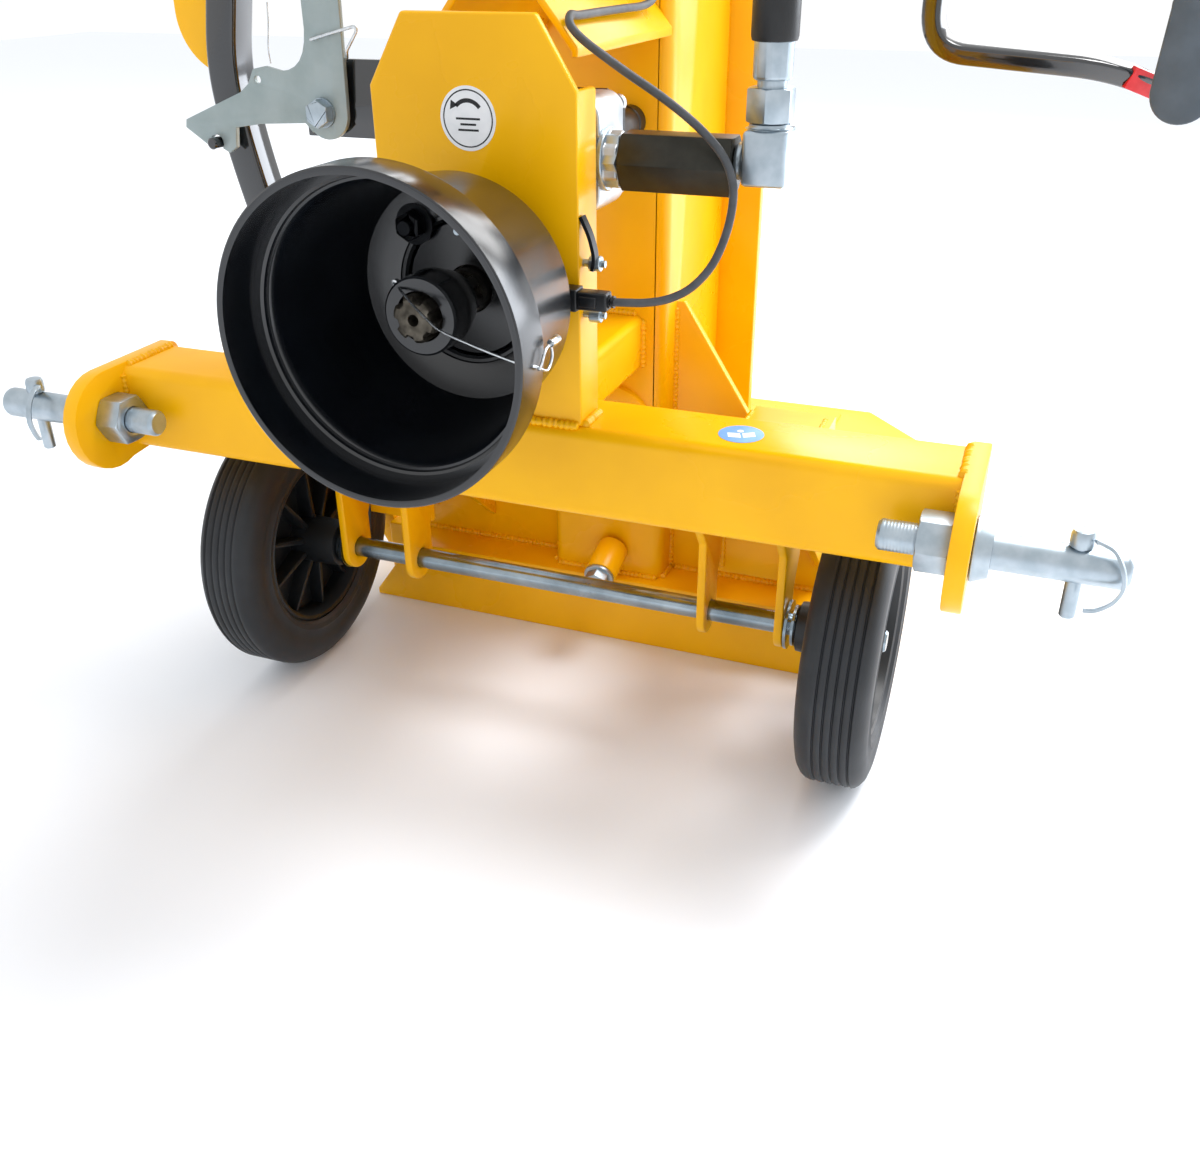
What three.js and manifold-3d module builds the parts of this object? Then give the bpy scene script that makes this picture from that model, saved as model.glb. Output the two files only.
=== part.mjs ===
// Tractor-mounted vertical log splitter with a PTO-driven hydraulic pump.
// Millimetres, +Z up, +Y away from the tractor, +X to the right seen from the tractor.
// The origin is on the ground, in the middle of the machine's bounding box.
import * as THREE from "three";
import { mergeVertices } from "three/addons/utils/BufferGeometryUtils.js";
import Module from "manifold-3d";

const wasm = await Module();
wasm.setup();

// ---------- driving dimensions ----------
const GAP = 0.3; // clearance between touching pieces
const SHEET = 8; // welded plate of the frame

const HITCH = { y: -380, z: 326, halfInner: 384, plate: 15, pin: 28, tip: 507, linch: 471 };
const BEAM = { size: 80, wall: 6, corner: 10, y: -316, z: 326 };
const BASE = { half: 300, top: 80, front: -95, back: 537, taper: 246, chamferX: 200, chamferY: 425 };
const COLUMN = { half: 65, front: -80, back: 125, top: 1500, wall: 6, corner: 12 };
const GUIDE = { half: 106, thick: 15 };
const GUSSET = { y: -45, thick: 10, top: 390, foot: 274 };
const DRAIN = { x: 8, z: 112, tilt: 0.3 }; // stub on the column foot, sloping down
const FILLER_Y = -20;
const TOP_LINK = { y: -156, z: 845, ear: 28, thick: 10 };
const AXLE = { y: -225.5, z: 141, radius: 10.5, half: 334 };
const WHEEL = { radius: 140, inner: 274, outer: 339, hubInner: 250, hubOuter: 332, bore: 11 };
const LUG = { inner: 155, outer: 231, round: 23 };
const PTO = { z: 480, mouth: -537, ridge: -500, radius: 116, body: 102, back: 88, step: -388, neck: 57, wall: 4 };
const PUMP_PLATE = { x: -5, half: 85, front: -350, flange: 40, top: 672, shoulder: 621, topHalf: 54 };
const STRUT = { width: 80, low: 326, top: 382 };
const SHAFT = { radius: 17.5, tip: -469, neck: 24 };
const GEARBOX = { y: -300, half: 72, bottom: 418, top: 622, pinionZ: 557 };
const GEARS = { drive: 24, pinion: 12 }; // teeth: the pump runs twice as fast as the tractor's shaft
const PORT = { y: -285, z: 566, start: 93.3, end: 183, elbow: 207 };
const VALVE = { y: -150, z0: 1010, z1: 1100, half: 62, portY: -115, portZ: 1055 };
const HOOD = { right: 65, low: 640, slopeX: 45, slopeZ: 62, front: -309 };
const CARRIAGE = { bottom: 800, height: 300, half: 124, claw: 108 };
const CYLINDER = { y: 232, bore: 38, radius: 45, bottom: 1130, top: 1930, rod: 22 };
const ARM = { tube: 22, pivotX: 150, pivotY: 20, pivotZ: 980, reachX: 247, reachY: 320 };
const GRIP = { x: 511, y: 368, z: 620 };
const LEFT_ARM_RAISE = 24; // degrees that the left arm rests above the right one
const LIFTER = { tube: 36, y: -60, pivotX: -322, pivotZ: 104, rearY: 410 };
const CATCH = { x: -438, z: 528 }; // pin on the lifter that the latch hooks over
const LATCH = { y: -90, thick: 6, pivotX: -301, pivotZ: 563 };

// ---------- materials ----------
const paint = (name, color, roughness, metalness = 0) =>
  new THREE.MeshStandardMaterial({ name, color, roughness, metalness });
const YELLOW = () => paint("yellow_paint", 0xf6b80f, 0.35);
const BLACK = () => paint("black_paint", 0x14171b, 0.3);
const ZINC = () => paint("zinc", 0xc3c8cb, 0.3, 1);
const STEEL = () => paint("steel", 0x8d9196, 0.35, 1);
const CHROME = () => paint("chrome", 0xe4e6e8, 0.1, 1);
const RUBBER = () => paint("rubber", 0x2b2e32, 0.75);
const PLASTIC = () => paint("black_plastic", 0x1a1c20, 0.45);
const ALUMINIUM = () => paint("aluminium", 0xb9bdc0, 0.45, 1);

// ---------- geometry helpers ----------
const V = (x, y, z) => new THREE.Vector3(x, y, z);

function solid(geometry) {
  const bare = geometry.clone();
  bare.deleteAttribute("normal");
  bare.deleteAttribute("uv");
  const merged = mergeVertices(bare, 1e-4);
  return new wasm.Manifold(
    new wasm.Mesh({
      numProp: 3,
      vertProperties: merged.attributes.position.array,
      triVerts: new Uint32Array(merged.index.array),
    }),
  );
}

function geometryOf(body) {
  const mesh = body.getMesh();
  const geometry = new THREE.BufferGeometry();
  geometry.setAttribute("position", new THREE.BufferAttribute(new Float32Array(mesh.vertProperties), 3));
  geometry.setIndex(new THREE.BufferAttribute(new Uint32Array(mesh.triVerts), 1));
  const flat = geometry.toNonIndexed();
  flat.computeVertexNormals();
  return flat;
}

const join = (first, ...others) =>
  geometryOf(others.reduce((sum, g) => sum.add(solid(g)), solid(first)));
const cut = (first, ...others) =>
  geometryOf(others.reduce((rest, g) => rest.subtract(solid(g)), solid(first)));

// Box from its lowest to its highest corner.
function box(x0, y0, z0, x1, y1, z1) {
  const geometry = new THREE.BoxGeometry(x1 - x0, y1 - y0, z1 - z0);
  return geometry.translate((x0 + x1) / 2, (y0 + y1) / 2, (z0 + z1) / 2);
}

const outline = (points) => new THREE.Shape(points.map(([a, b]) => new THREE.Vector2(a, b)));

function roundHole(shape, a, b, radius) {
  const hole = new THREE.Path();
  hole.absarc(a, b, radius, 0, Math.PI * 2, true);
  shape.holes.push(hole);
  return shape;
}

function roundedRect(width, height, radius, path = new THREE.Shape()) {
  const a = width / 2 - radius;
  const b = height / 2 - radius;
  path.absarc(a, b, radius, 0, Math.PI / 2);
  path.absarc(-a, b, radius, Math.PI / 2, Math.PI);
  path.absarc(-a, -b, radius, Math.PI, Math.PI * 1.5);
  path.absarc(a, -b, radius, Math.PI * 1.5, Math.PI * 2);
  path.closePath();
  return path;
}

function tubeSection(width, height, radius, wall) {
  const shape = roundedRect(width, height, radius);
  shape.holes.push(roundedRect(width - 2 * wall, height - 2 * wall, radius - wall + 2, new THREE.Path()));
  return shape;
}

const extrude = (shape, depth, curveSegments = 3) =>
  new THREE.ExtrudeGeometry(shape, { depth, bevelEnabled: false, curveSegments });

// A shape drawn in (Y, Z), extruded along +X from x0.
function alongX(shape, x0, depth, curveSegments) {
  const turn = new THREE.Matrix4().makeBasis(V(0, 1, 0), V(0, 0, 1), V(1, 0, 0));
  return extrude(shape, depth, curveSegments).applyMatrix4(turn).translate(x0, 0, 0);
}

// A shape drawn in (X, Z), extruded along +Y from y0.
const alongY = (shape, y0, depth, curveSegments) =>
  extrude(shape, depth, curveSegments).rotateX(Math.PI / 2).translate(0, y0 + depth, 0);

// A shape drawn in (X, Y), extruded along +Z from z0.
const alongZ = (shape, z0, depth, curveSegments) =>
  extrude(shape, depth, curveSegments).translate(0, 0, z0);

// A solid of revolution about the axis "x", "y" or "z"; profile holds [radius, distance] pairs.
function turned(profile, axis, segments = 24) {
  const geometry = new THREE.LatheGeometry(
    profile.map(([r, d]) => new THREE.Vector2(r, d)),
    segments,
  );
  if (axis === "z") geometry.rotateX(Math.PI / 2);
  if (axis === "x") geometry.rotateZ(-Math.PI / 2);
  const body = solid(geometry);
  return body.volume() < 0 ? turned([...profile].reverse(), axis, segments) : geometryOf(body);
}

const rod = (radius, from, to, axis, segments = 20) =>
  turned([[0, from], [radius, from], [radius, to], [0, to]], axis, segments);

const ring = (inner, outer, from, to, axis, segments = 24) =>
  turned([[inner, from], [outer, from], [outer, to], [inner, to], [inner, from]], axis, segments);

// Hexagonal prism with the given width across flats.
function hexagon(across, from, to, axis) {
  return rod(across / Math.sqrt(3), from, to, axis, 6);
}

// A bar of the given convex section along a route of points, mitred at every corner.
function bar(section, route) {
  const positions = [];
  const faces = [];
  const n = section.length;
  let along = route[1].clone().sub(route[0]).normalize();
  const up = Math.abs(along.y) > 0.9 ? V(0, 0, 1) : V(0, 1, 0);
  let lift = up.clone().addScaledVector(along, -up.dot(along)).normalize();
  route.forEach((point, i) => {
    const next = i < route.length - 1 ? route[i + 1].clone().sub(point).normalize() : along;
    const plane = along.clone().add(next).normalize();
    const side = along.clone().cross(lift);
    for (const [a, b] of section) {
      const corner = side.clone().multiplyScalar(a).addScaledVector(lift, b);
      corner.addScaledVector(along, -corner.dot(plane) / along.dot(plane)).add(point);
      positions.push(corner.x, corner.y, corner.z);
    }
    lift = lift.clone().addScaledVector(next, -lift.dot(next)).normalize();
    along = next;
  });
  const last = (route.length - 1) * n;
  for (let i = 0; i < last; i += n)
    for (let k = 0; k < n; k++) {
      const [a, b] = [i + k, i + ((k + 1) % n)];
      faces.push(a, a + n, b, b, a + n, b + n);
    }
  for (let k = 1; k < n - 1; k++) faces.push(0, k, k + 1, last, last + k + 1, last + k);
  const geometry = new THREE.BufferGeometry();
  geometry.setAttribute("position", new THREE.Float32BufferAttribute(positions, 3));
  geometry.setIndex(faces);
  return geometryOf(solid(geometry).volume() < 0 ? solid(flipped(geometry)) : solid(geometry));
}

function flipped(geometry) {
  const turned = geometry.clone();
  turned.setIndex([...geometry.index.array].reverse());
  return turned;
}

// The route with each inner corner replaced by a bend that starts `reach` before it.
function bends(corners, reach, steps = 5) {
  const route = [corners[0]];
  for (let i = 1; i < corners.length - 1; i++) {
    const before = corners[i - 1].distanceTo(corners[i]);
    const after = corners[i + 1].distanceTo(corners[i]);
    const from = corners[i].clone().lerp(corners[i - 1], Math.min(0.49, reach / before));
    const to = corners[i].clone().lerp(corners[i + 1], Math.min(0.49, reach / after));
    route.push(...new THREE.QuadraticBezierCurve3(from, corners[i], to).getPoints(steps));
  }
  route.push(corners[corners.length - 1]);
  return route;
}

// Evenly spaced points of a smooth curve whose two end runs stay straight.
function curve(points, steps) {
  const inner = new THREE.CatmullRomCurve3(points.slice(1, -1), false, "centripetal");
  return [points[0], ...inner.getSpacedPoints(steps), points[points.length - 1]];
}

// Square tube section with chamfered corners.
function squareSection(size, corner = 3) {
  const [a, b] = [size / 2, size / 2 - corner];
  return [[a, -b], [a, b], [b, a], [-b, a], [-a, b], [-a, -b], [-b, -a], [b, -a]];
}

function circle(radius, sides) {
  const points = [];
  for (let i = 0; i < sides; i++) {
    const angle = (i / sides) * Math.PI * 2;
    points.push([radius * Math.cos(angle), radius * Math.sin(angle)]);
  }
  return points;
}

const onDrain = (geometry) => geometry.rotateX(DRAIN.tilt).translate(DRAIN.x, COLUMN.front, DRAIN.z);

const splitter = new THREE.Group();

function piece(name, geometry, material) {
  const mesh = new THREE.Mesh(geometry, material);
  mesh.name = name;
  splitter.add(mesh);
  return mesh;
}

const sides = [
  { name: "left", s: -1 },
  { name: "right", s: 1 },
];

// A copy mirrored to the other side of the YZ plane when s is -1.
function toSide(geometry, s) {
  if (s > 0) return geometry;
  const mirrored = solid(geometry).mirror([1, 0, 0]);
  return geometryOf(mirrored);
}

// ---------- base platform ----------
function basePlatform() {
  const plan = outline([
    [-BASE.half, BASE.front], [BASE.half, BASE.front], [BASE.half, BASE.chamferY],
    [BASE.chamferX, BASE.back], [-BASE.chamferX, BASE.back], [-BASE.half, BASE.chamferY],
  ]);
  const inside = BASE.half - SHEET;
  const pocket = outline([
    [-inside, BASE.front + SHEET], [inside, BASE.front + SHEET], [inside, BASE.chamferY - 4],
    [BASE.chamferX - 4, BASE.back - SHEET], [-BASE.chamferX + 4, BASE.back - SHEET], [-inside, BASE.chamferY - 4],
  ]);
  const corner = outline([[BASE.half + 1, 6], [BASE.half + 1, BASE.top + 1], [BASE.taper, BASE.top + 1]]);
  const cornerCut = alongY(corner, BASE.front - 1, 42);
  const tray = cut(
    alongZ(plan, 0, BASE.top),
    alongZ(pocket, -1, BASE.top - SHEET + 1),
    cornerCut,
    toSide(cornerCut, -1),
  );
  const flat = BASE.front + 41;
  const closing = alongY(
    outline([[BASE.half, 0], [BASE.half, 6], [BASE.taper, BASE.top], [BASE.taper - 70, BASE.top], [BASE.taper - 70, 0]]),
    BASE.front,
    SHEET,
  );
  const web = alongY(
    outline([[BASE.half - 2, 0], [BASE.half - 2, BASE.top - 2], [BASE.taper - 70, BASE.top - 2], [BASE.taper - 70, 0]]),
    flat,
    SHEET,
  );
  const wearPlate = box(-160, 165, BASE.top - 1, 160, 505, BASE.top + 5);
  return join(tray, closing, toSide(closing, -1), web, toSide(web, -1), wearPlate);
}
piece("base_platform", basePlatform(), YELLOW());

// ---------- column, guide and gussets ----------
// The column is also the oil tank: tube, cap with filler neck, drain stub, tank flange, gussets and
// top-link ears are welded into one piece.
function columnTube() {
  const depth = COLUMN.back - COLUMN.front;
  const section = tubeSection(2 * COLUMN.half, depth, COLUMN.corner, COLUMN.wall);
  return alongZ(section, BASE.top, COLUMN.top - BASE.top).translate(0, (COLUMN.back + COLUMN.front) / 2, 0);
}

function gusset() {
  const side = COLUMN.half - 3;
  const plate = outline([[side, BASE.top], [GUSSET.foot, BASE.top], [side + 11, GUSSET.top], [side, GUSSET.top]]);
  return alongY(plate, GUSSET.y, GUSSET.thick);
}

function topLinkEars() {
  const { y, z, ear, thick } = TOP_LINK;
  const side = outline([
    [COLUMN.front + 1, z - 55], [COLUMN.front + 1, z + 50], [y + 6, z + 27], [y - 22, z + 15], [y - 22, z - 15],
    [y + 6, z - 30],
  ]);
  const back = box(-40, COLUMN.front - 8, z - 55, 40, COLUMN.front + 1, z + 50);
  const one = alongX(roundHole(side, y, z, 13), ear, thick, 8);
  return join(back, one, toSide(one, -1));
}

function column() {
  const cap = box(-COLUMN.half, COLUMN.front, COLUMN.top - 1, COLUMN.half, COLUMN.back, COLUMN.top + 10);
  const neck = rod(22, COLUMN.top, COLUMN.top + 30, "z", 20).translate(0, FILLER_Y, 0);
  const neckHole = rod(14, COLUMN.top - 20, COLUMN.top + 31, "z", 20).translate(0, FILLER_Y, 0);
  const stub = onDrain(rod(18, -46, -2, "y", 20));
  const stubHole = onDrain(rod(9, -47, 20, "y", 16));
  const flange = rod(44, COLUMN.front - 8, COLUMN.front + 1, "y", 28).translate(8, 0, 262);
  const welded = join(columnTube(), gusset(), toSide(gusset(), -1), topLinkEars(), cap, neck, stub, flange);
  return cut(welded, neckHole, stubHole);
}
piece("column", column(), YELLOW());
piece(
  "guide_plate",
  box(-GUIDE.half, COLUMN.back, BASE.top, GUIDE.half, COLUMN.back + GUIDE.thick, COLUMN.top),
  YELLOW(),
);

// ---------- cross beam, end plates and lower hitch pins ----------
const beamHalf = BEAM.size / 2;
function crossBeam() {
  const half = HITCH.halfInner + 1;
  const section = tubeSection(BEAM.size, BEAM.size, BEAM.corner, BEAM.wall);
  const drainHole = rod(5, BEAM.z - beamHalf - 2, BEAM.z - beamHalf + 9, "z", 12).translate(60, BEAM.y, 0);
  return cut(alongX(section, -half, 2 * half).translate(0, BEAM.y, BEAM.z), drainHole);
}

// Plate with a large round end about the pin and rounded corners behind the beam.
function endPlate() {
  const rear = BEAM.y + beamHalf + 2;
  const shape = new THREE.Shape();
  shape.absarc(HITCH.y, HITCH.z - 3, 47, Math.PI * 0.5, Math.PI * 1.62);
  shape.lineTo(rear - 6, BEAM.z - 40);
  shape.lineTo(rear, BEAM.z - 34);
  shape.absarc(rear - 9, HITCH.z + 35, 9, 0, Math.PI * 0.5);
  shape.closePath();
  roundHole(shape, HITCH.y, HITCH.z, 12.5);
  return alongX(shape, HITCH.halfInner, HITCH.plate, 8);
}

function linkPin() {
  const shoulder = HITCH.halfInner + HITCH.plate;
  const profile = [
    [0, 330], [10.5, 330], [12, 332], [12, shoulder + GAP], [25, shoulder + GAP], [25, shoulder + 3],
    [20.5, shoulder + 14], [HITCH.pin / 2, shoulder + 14], [HITCH.pin / 2, HITCH.tip - 5],
    [HITCH.pin / 2 - 4, HITCH.tip], [0, HITCH.tip],
  ];
  const body = turned(profile, "x", 18).translate(0, HITCH.y, HITCH.z);
  return cut(body, rod(6.4, HITCH.z - 20, HITCH.z + 20, "z", 12).translate(HITCH.linch, HITCH.y, 0));
}

// Drop-forged peg with the small lug that carries its ring.
function linchPeg() {
  const shank = rod(5.8, HITCH.z - 43, HITCH.z + 16, "z", 12);
  const head = box(-8, -6, HITCH.z + HITCH.pin / 2 + GAP, 8, 6, HITCH.z + 28);
  return join(shank, head).translate(HITCH.linch, HITCH.y, 0);
}

// Spring ring that leaves the head of the peg along X, passes in front of the pin and ends beside the
// shank. The right one hangs outwards, the left one forwards on the inner side of its peg.
function linchRing(bulges) {
  const route = bulges.map(([x, y, z]) => V(x, y, z));
  const points = curve([V(0, 0, 22), V(2, 0, 22), ...route, V(2, -12.5, -26), V(0, -12.5, -26)], 24);
  return bar(circle(2, 8), points).translate(0, HITCH.y - 6.8, HITCH.z);
}
const outwards = [[13, -5, 19], [20, -12, 9], [22.5, -13, -4], [18, -13, -16], [9, -12.5, -24]];
const forwards = [[3.5, -8, 20], [4, -17, 10], [4, -21, -4], [4, -19, -16], [3, -15, -24]];

for (const { name, s } of sides) {
  piece(name + "_link_pin", toSide(linkPin(), s), ZINC());
  const nut = cut(
    hexagon(41, HITCH.halfInner - 25, HITCH.halfInner - GAP, "x"),
    rod(12 + GAP, 340, 400, "x", 18),
  ).translate(0, HITCH.y, HITCH.z);
  piece(name + "_pin_nut", toSide(nut, s), ZINC());
  piece(name + "_linch_peg", toSide(linchPeg(), s), ZINC());
  const ringShape = s > 0
    ? linchRing(outwards).translate(HITCH.linch + 8.6, 0, 0)
    : linchRing(forwards).translate(-HITCH.linch + 8.6, 0, 0);
  piece(name + "_linch_ring", ringShape, ZINC());
}

// ---------- axle, brackets and wheels ----------
function axle() {
  const bar = rod(AXLE.radius, -AXLE.half, AXLE.half, "x", 20);
  const washer = rod(24, LUG.outer + SHEET + 1, LUG.outer + SHEET + 4, "x", 20);
  return join(bar, washer, toSide(washer, -1)).translate(0, AXLE.y, AXLE.z);
}
piece("axle", axle(), ZINC());

// Side plate of an axle bracket: a lug round the axle under a wide root below the beam.
function lugPlate(x0) {
  const shape = new THREE.Shape();
  const under = BEAM.z - beamHalf + 2;
  const rear = GUSSET.y - GAP;
  shape.moveTo(BEAM.y, under);
  shape.lineTo(AXLE.y - 42, AXLE.z + 106);
  shape.lineTo(AXLE.y - LUG.round, AXLE.z + 82);
  shape.absarc(AXLE.y, AXLE.z, LUG.round, Math.PI, Math.PI * 2);
  shape.lineTo(AXLE.y + LUG.round, AXLE.z + 30);
  shape.lineTo(AXLE.y + 50, AXLE.z + 80);
  shape.lineTo(rear, AXLE.z - 30);
  shape.lineTo(rear, under);
  shape.closePath();
  roundHole(shape, AXLE.y, AXLE.z, AXLE.radius + GAP);
  return alongX(shape, x0, SHEET, 8);
}

// Cross beam with its end plates and the two welded axle brackets.
function hitchFrame() {
  const under = BEAM.z - beamHalf + 2;
  const shelf = box(LUG.inner, BEAM.y + beamHalf - 8, under - 8, LUG.outer + SHEET, GUSSET.y - GAP, under);
  const web = box(LUG.inner + SHEET / 2, -192, AXLE.z + 26, LUG.outer + SHEET / 2, -184, under);
  const bracket = join(lugPlate(LUG.inner), lugPlate(LUG.outer), web, shelf);
  return join(crossBeam(), endPlate(), toSide(endPlate(), -1), bracket, toSide(bracket, -1));
}
piece("hitch_beam", hitchFrame(), YELLOW());

// Solid rubber tyre with round shoulders and three grooves round its tread.
function tyre() {
  const { radius, inner, outer } = WHEEL;
  const seat = 92;
  const profile = [
    [seat, inner + 4], [radius - 26, inner], [radius - 12, inner + 1], [radius - 3, inner + 6], [radius, inner + 12],
  ];
  const grooves = 3;
  const pitch = (outer - inner - 24) / grooves;
  for (let i = 0; i < grooves; i++) {
    const at = inner + 12 + pitch * (i + 0.5);
    profile.push([radius, at - 2], [radius - 3, at], [radius, at + 2]);
  }
  profile.push([radius, outer - 12], [radius - 3, outer - 6], [radius - 12, outer - 1], [radius - 26, outer]);
  profile.push([seat, outer - 4], [seat, inner + 4]);
  return turned(profile, "x", 30).translate(0, AXLE.y, AXLE.z);
}

// Moulded wheel centre: rim ring, ten spokes and a long hub.
function rim() {
  const seat = 92 - GAP;
  const mid = (WHEEL.inner + WHEEL.outer) / 2;
  const outerRing = ring(seat - 10, seat, WHEEL.inner + 6, WHEEL.outer - 6, "x", 30);
  const hub = ring(WHEEL.bore, 26, WHEEL.hubInner, WHEEL.hubOuter - 2, "x", 16);
  const spokes = [];
  const count = 10;
  for (let i = 0; i < count; i++) {
    const spoke = box(mid - 22, -4, 20, mid + 22, 4, seat - 5);
    spokes.push(spoke.rotateX((i / count) * Math.PI * 2));
  }
  return join(outerRing, hub, ...spokes).translate(0, AXLE.y, AXLE.z);
}

for (const { name, s } of sides) {
  piece(name + "_tyre", toSide(tyre(), s), RUBBER());
  piece(name + "_wheel_rim", toSide(rim(), s), PLASTIC());
}

// ---------- PTO mounting plate, strut and hood ----------
// Rectangular tube from the column to the back of the plate, notched over the cross beam.
function strut() {
  const start = BEAM.y - beamHalf + 8;
  const { width, low, top } = STRUT;
  const tube = alongY(tubeSection(width, top - low, 7, 4), start, COLUMN.front - GAP - start, 3);
  const notch = box(-width, start - 1, low - 1, width, BEAM.y + beamHalf + GAP, BEAM.z + beamHalf);
  return cut(tube.translate(0, 0, (top + low) / 2), notch);
}

function pumpPlate() {
  const { x, half, front, flange, top, shoulder, topHalf } = PUMP_PLATE;
  const low = BEAM.z + beamHalf;
  const face = outline([
    [x - half, low], [x + half, low], [x + half, shoulder], [x + topHalf, top],
    [x - topHalf, top], [x - half, shoulder],
  ]);
  roundHole(face, 0, PTO.z, 30);
  const sheet = alongY(face, front, SHEET, 10);
  const right = box(x + half - SHEET, front, low, x + half, front + flange, shoulder);
  const left = box(x - half, front, low, x - half + SHEET, front + flange, shoulder);
  return join(sheet, right, left, strut());
}
const plateBack = PUMP_PLATE.front + SHEET;
piece("pump_plate", pumpPlate(), YELLOW());

// Folded cover over the pump with sloping shoulders, welded to the column front.
function hood() {
  const { right, low, slopeX, slopeZ, front } = HOOD;
  const inner = right - 5;
  const section = outline([
    [right, low], [right, low + 7], [right - slopeX, low + slopeZ], [-right + slopeX, low + slopeZ],
    [-right, low + 7], [-right, low], [-inner, low], [-inner, low + 4], [-inner + slopeX - 2, low + slopeZ - 5],
    [inner - slopeX + 2, low + slopeZ - 5], [inner, low + 4], [inner, low],
  ].reverse());
  return alongY(section, front, COLUMN.front - front - GAP);
}
piece("pump_hood", hood(), YELLOW());

// ---------- PTO guard, shaft, gearbox and pump ----------
function ptoGuard() {
  const { mouth, ridge, radius, body, back, step, neck, wall } = PTO;
  const rear = PUMP_PLATE.front - GAP;
  const profile = [
    [radius - 6, mouth], [radius - 1, mouth], [radius, mouth + 2], [radius, ridge - 2], [radius - 3, ridge + 1],
    [body, ridge + 4], [back, step], [neck, step + 6], [neck, rear], [33, rear], [33, rear - wall],
    [neck - wall, rear - wall], [neck - wall, step], [back - wall - 1, step - wall],
    [body - wall, ridge + 6], [radius - wall - 4, ridge - 2], [radius - 6, mouth],
  ];
  return turned(profile, "y", 32).translate(0, 0, PTO.z);
}
piece("pto_guard", ptoGuard(), PLASTIC());

// Splined stub shaft: the spline is drawn as a toothed outline.
function ptoShaft() {
  const teeth = 6;
  const points = [];
  for (let i = 0; i < teeth; i++) {
    for (const [turn, radius] of [[0, 14.6], [0.24, 14.6], [0.3, 17.4], [0.94, 17.4]]) {
      const angle = ((i + turn) / teeth) * Math.PI * 2;
      points.push([radius * Math.cos(angle), radius * Math.sin(angle)]);
    }
  }
  const spline = alongY(outline(points), SHAFT.tip, 80);
  const journal = rod(SHAFT.radius, SHAFT.tip + 79, GEARBOX.y - 13, "y", 24);
  return join(spline, journal).translate(0, 0, PTO.z);
}
piece("pto_shaft", ptoShaft(), STEEL());
piece(
  "shaft_bearing",
  ring(SHAFT.radius + GAP, 27, PUMP_PLATE.front - 14, PUMP_PLATE.front + SHEET + 6, "y", 28).translate(0, 0, PTO.z),
  STEEL(),
);

const gearDistance = GEARBOX.pinionZ - PTO.z;
const drivePitch = (gearDistance * GEARS.drive) / (GEARS.drive + GEARS.pinion);
const pinionPitch = gearDistance - drivePitch;

// Cast housing behind the plate with one open pocket for the two gears.
function gearbox() {
  const { y, half, bottom, top, pinionZ } = GEARBOX;
  const face = roundedRect(2 * half, top - bottom, 30);
  const block = alongY(face, plateBack + GAP, y - plateBack - GAP, 5).translate(0, 0, (top + bottom) / 2);
  const big = rod(drivePitch + 5, plateBack + 12, y - 8, "y", 28).translate(0, 0, PTO.z);
  const small = rod(pinionPitch + 5, plateBack + 12, y - 8, "y", 24).translate(0, 0, pinionZ);
  const bearingHole = rod(27 + GAP, plateBack - 1, plateBack + 13, "y", 28).translate(0, 0, PTO.z);
  const pumpHole = rod(9, y - 9, y + 1, "y", 16).translate(0, 0, pinionZ);
  return cut(block, big, small, bearingHole, pumpHole);
}
piece("gearbox_housing", gearbox(), ALUMINIUM());

// Spur gear; `facing` is the angle at which a tooth (or with `gap` a gap) is centred.
function gear(teeth, pitch, facing, gap, from, to) {
  const points = [];
  const shift = facing - ((gap ? 0.24 : 0.74) / teeth) * Math.PI * 2;
  for (let i = 0; i < teeth; i++) {
    for (const [turn, radius] of [[0, pitch - 4], [0.48, pitch - 4], [0.6, pitch + 2.4], [0.88, pitch + 2.4]]) {
      const angle = shift + ((i + turn) / teeth) * Math.PI * 2;
      points.push([radius * Math.cos(angle), radius * Math.sin(angle)]);
    }
  }
  return alongY(outline(points), from, to - from);
}
const gearFront = plateBack + 14;
const gearBack = GEARBOX.y - 10;
function driveGear() {
  const blank = gear(GEARS.drive, drivePitch, Math.PI / 2, false, gearFront, gearBack);
  return cut(blank, rod(SHAFT.radius + GAP, gearFront - 1, gearBack + 1, "y", 24)).translate(0, 0, PTO.z);
}
piece("drive_gear", driveGear(), STEEL());
function pinionGear() {
  const blank = gear(GEARS.pinion, pinionPitch, -Math.PI / 2, true, gearFront, gearBack);
  return join(blank, rod(7, gearBack - 1, GEARBOX.y + 20, "y", 14)).translate(0, 0, GEARBOX.pinionZ);
}
piece("pinion_gear", pinionGear(), STEEL());

// Gear pump: body, end cover and port fitting in one, with a blind bore for the pinion's shaft.
function gearPump() {
  const { y, pinionZ } = GEARBOX;
  const body = roundedRect(103, 88, 16);
  const block = alongY(body, y + GAP, 58, 4).translate(26.5, 0, pinionZ + 11);
  const cover = alongY(roundedRect(86, 76, 18), y + 58, 14, 4).translate(26.5, 0, pinionZ + 11);
  const bore = rod(9, y - 1, y + 22, "y", 14).translate(0, 0, pinionZ);
  const port = join(rod(23, 77, 82, "x", 20), hexagon(38, 81, PORT.start, "x")).translate(0, PORT.y, PORT.z);
  return cut(join(block, cover, port), bore);
}
piece("gear_pump", gearPump(), ALUMINIUM());

// ---------- pressure line ----------
const portY = PORT.y;
piece(
  "pressure_adapter",
  hexagon(42, PORT.start + 1, PORT.end, "x").translate(0, portY, PORT.z),
  BLACK(),
);

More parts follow.
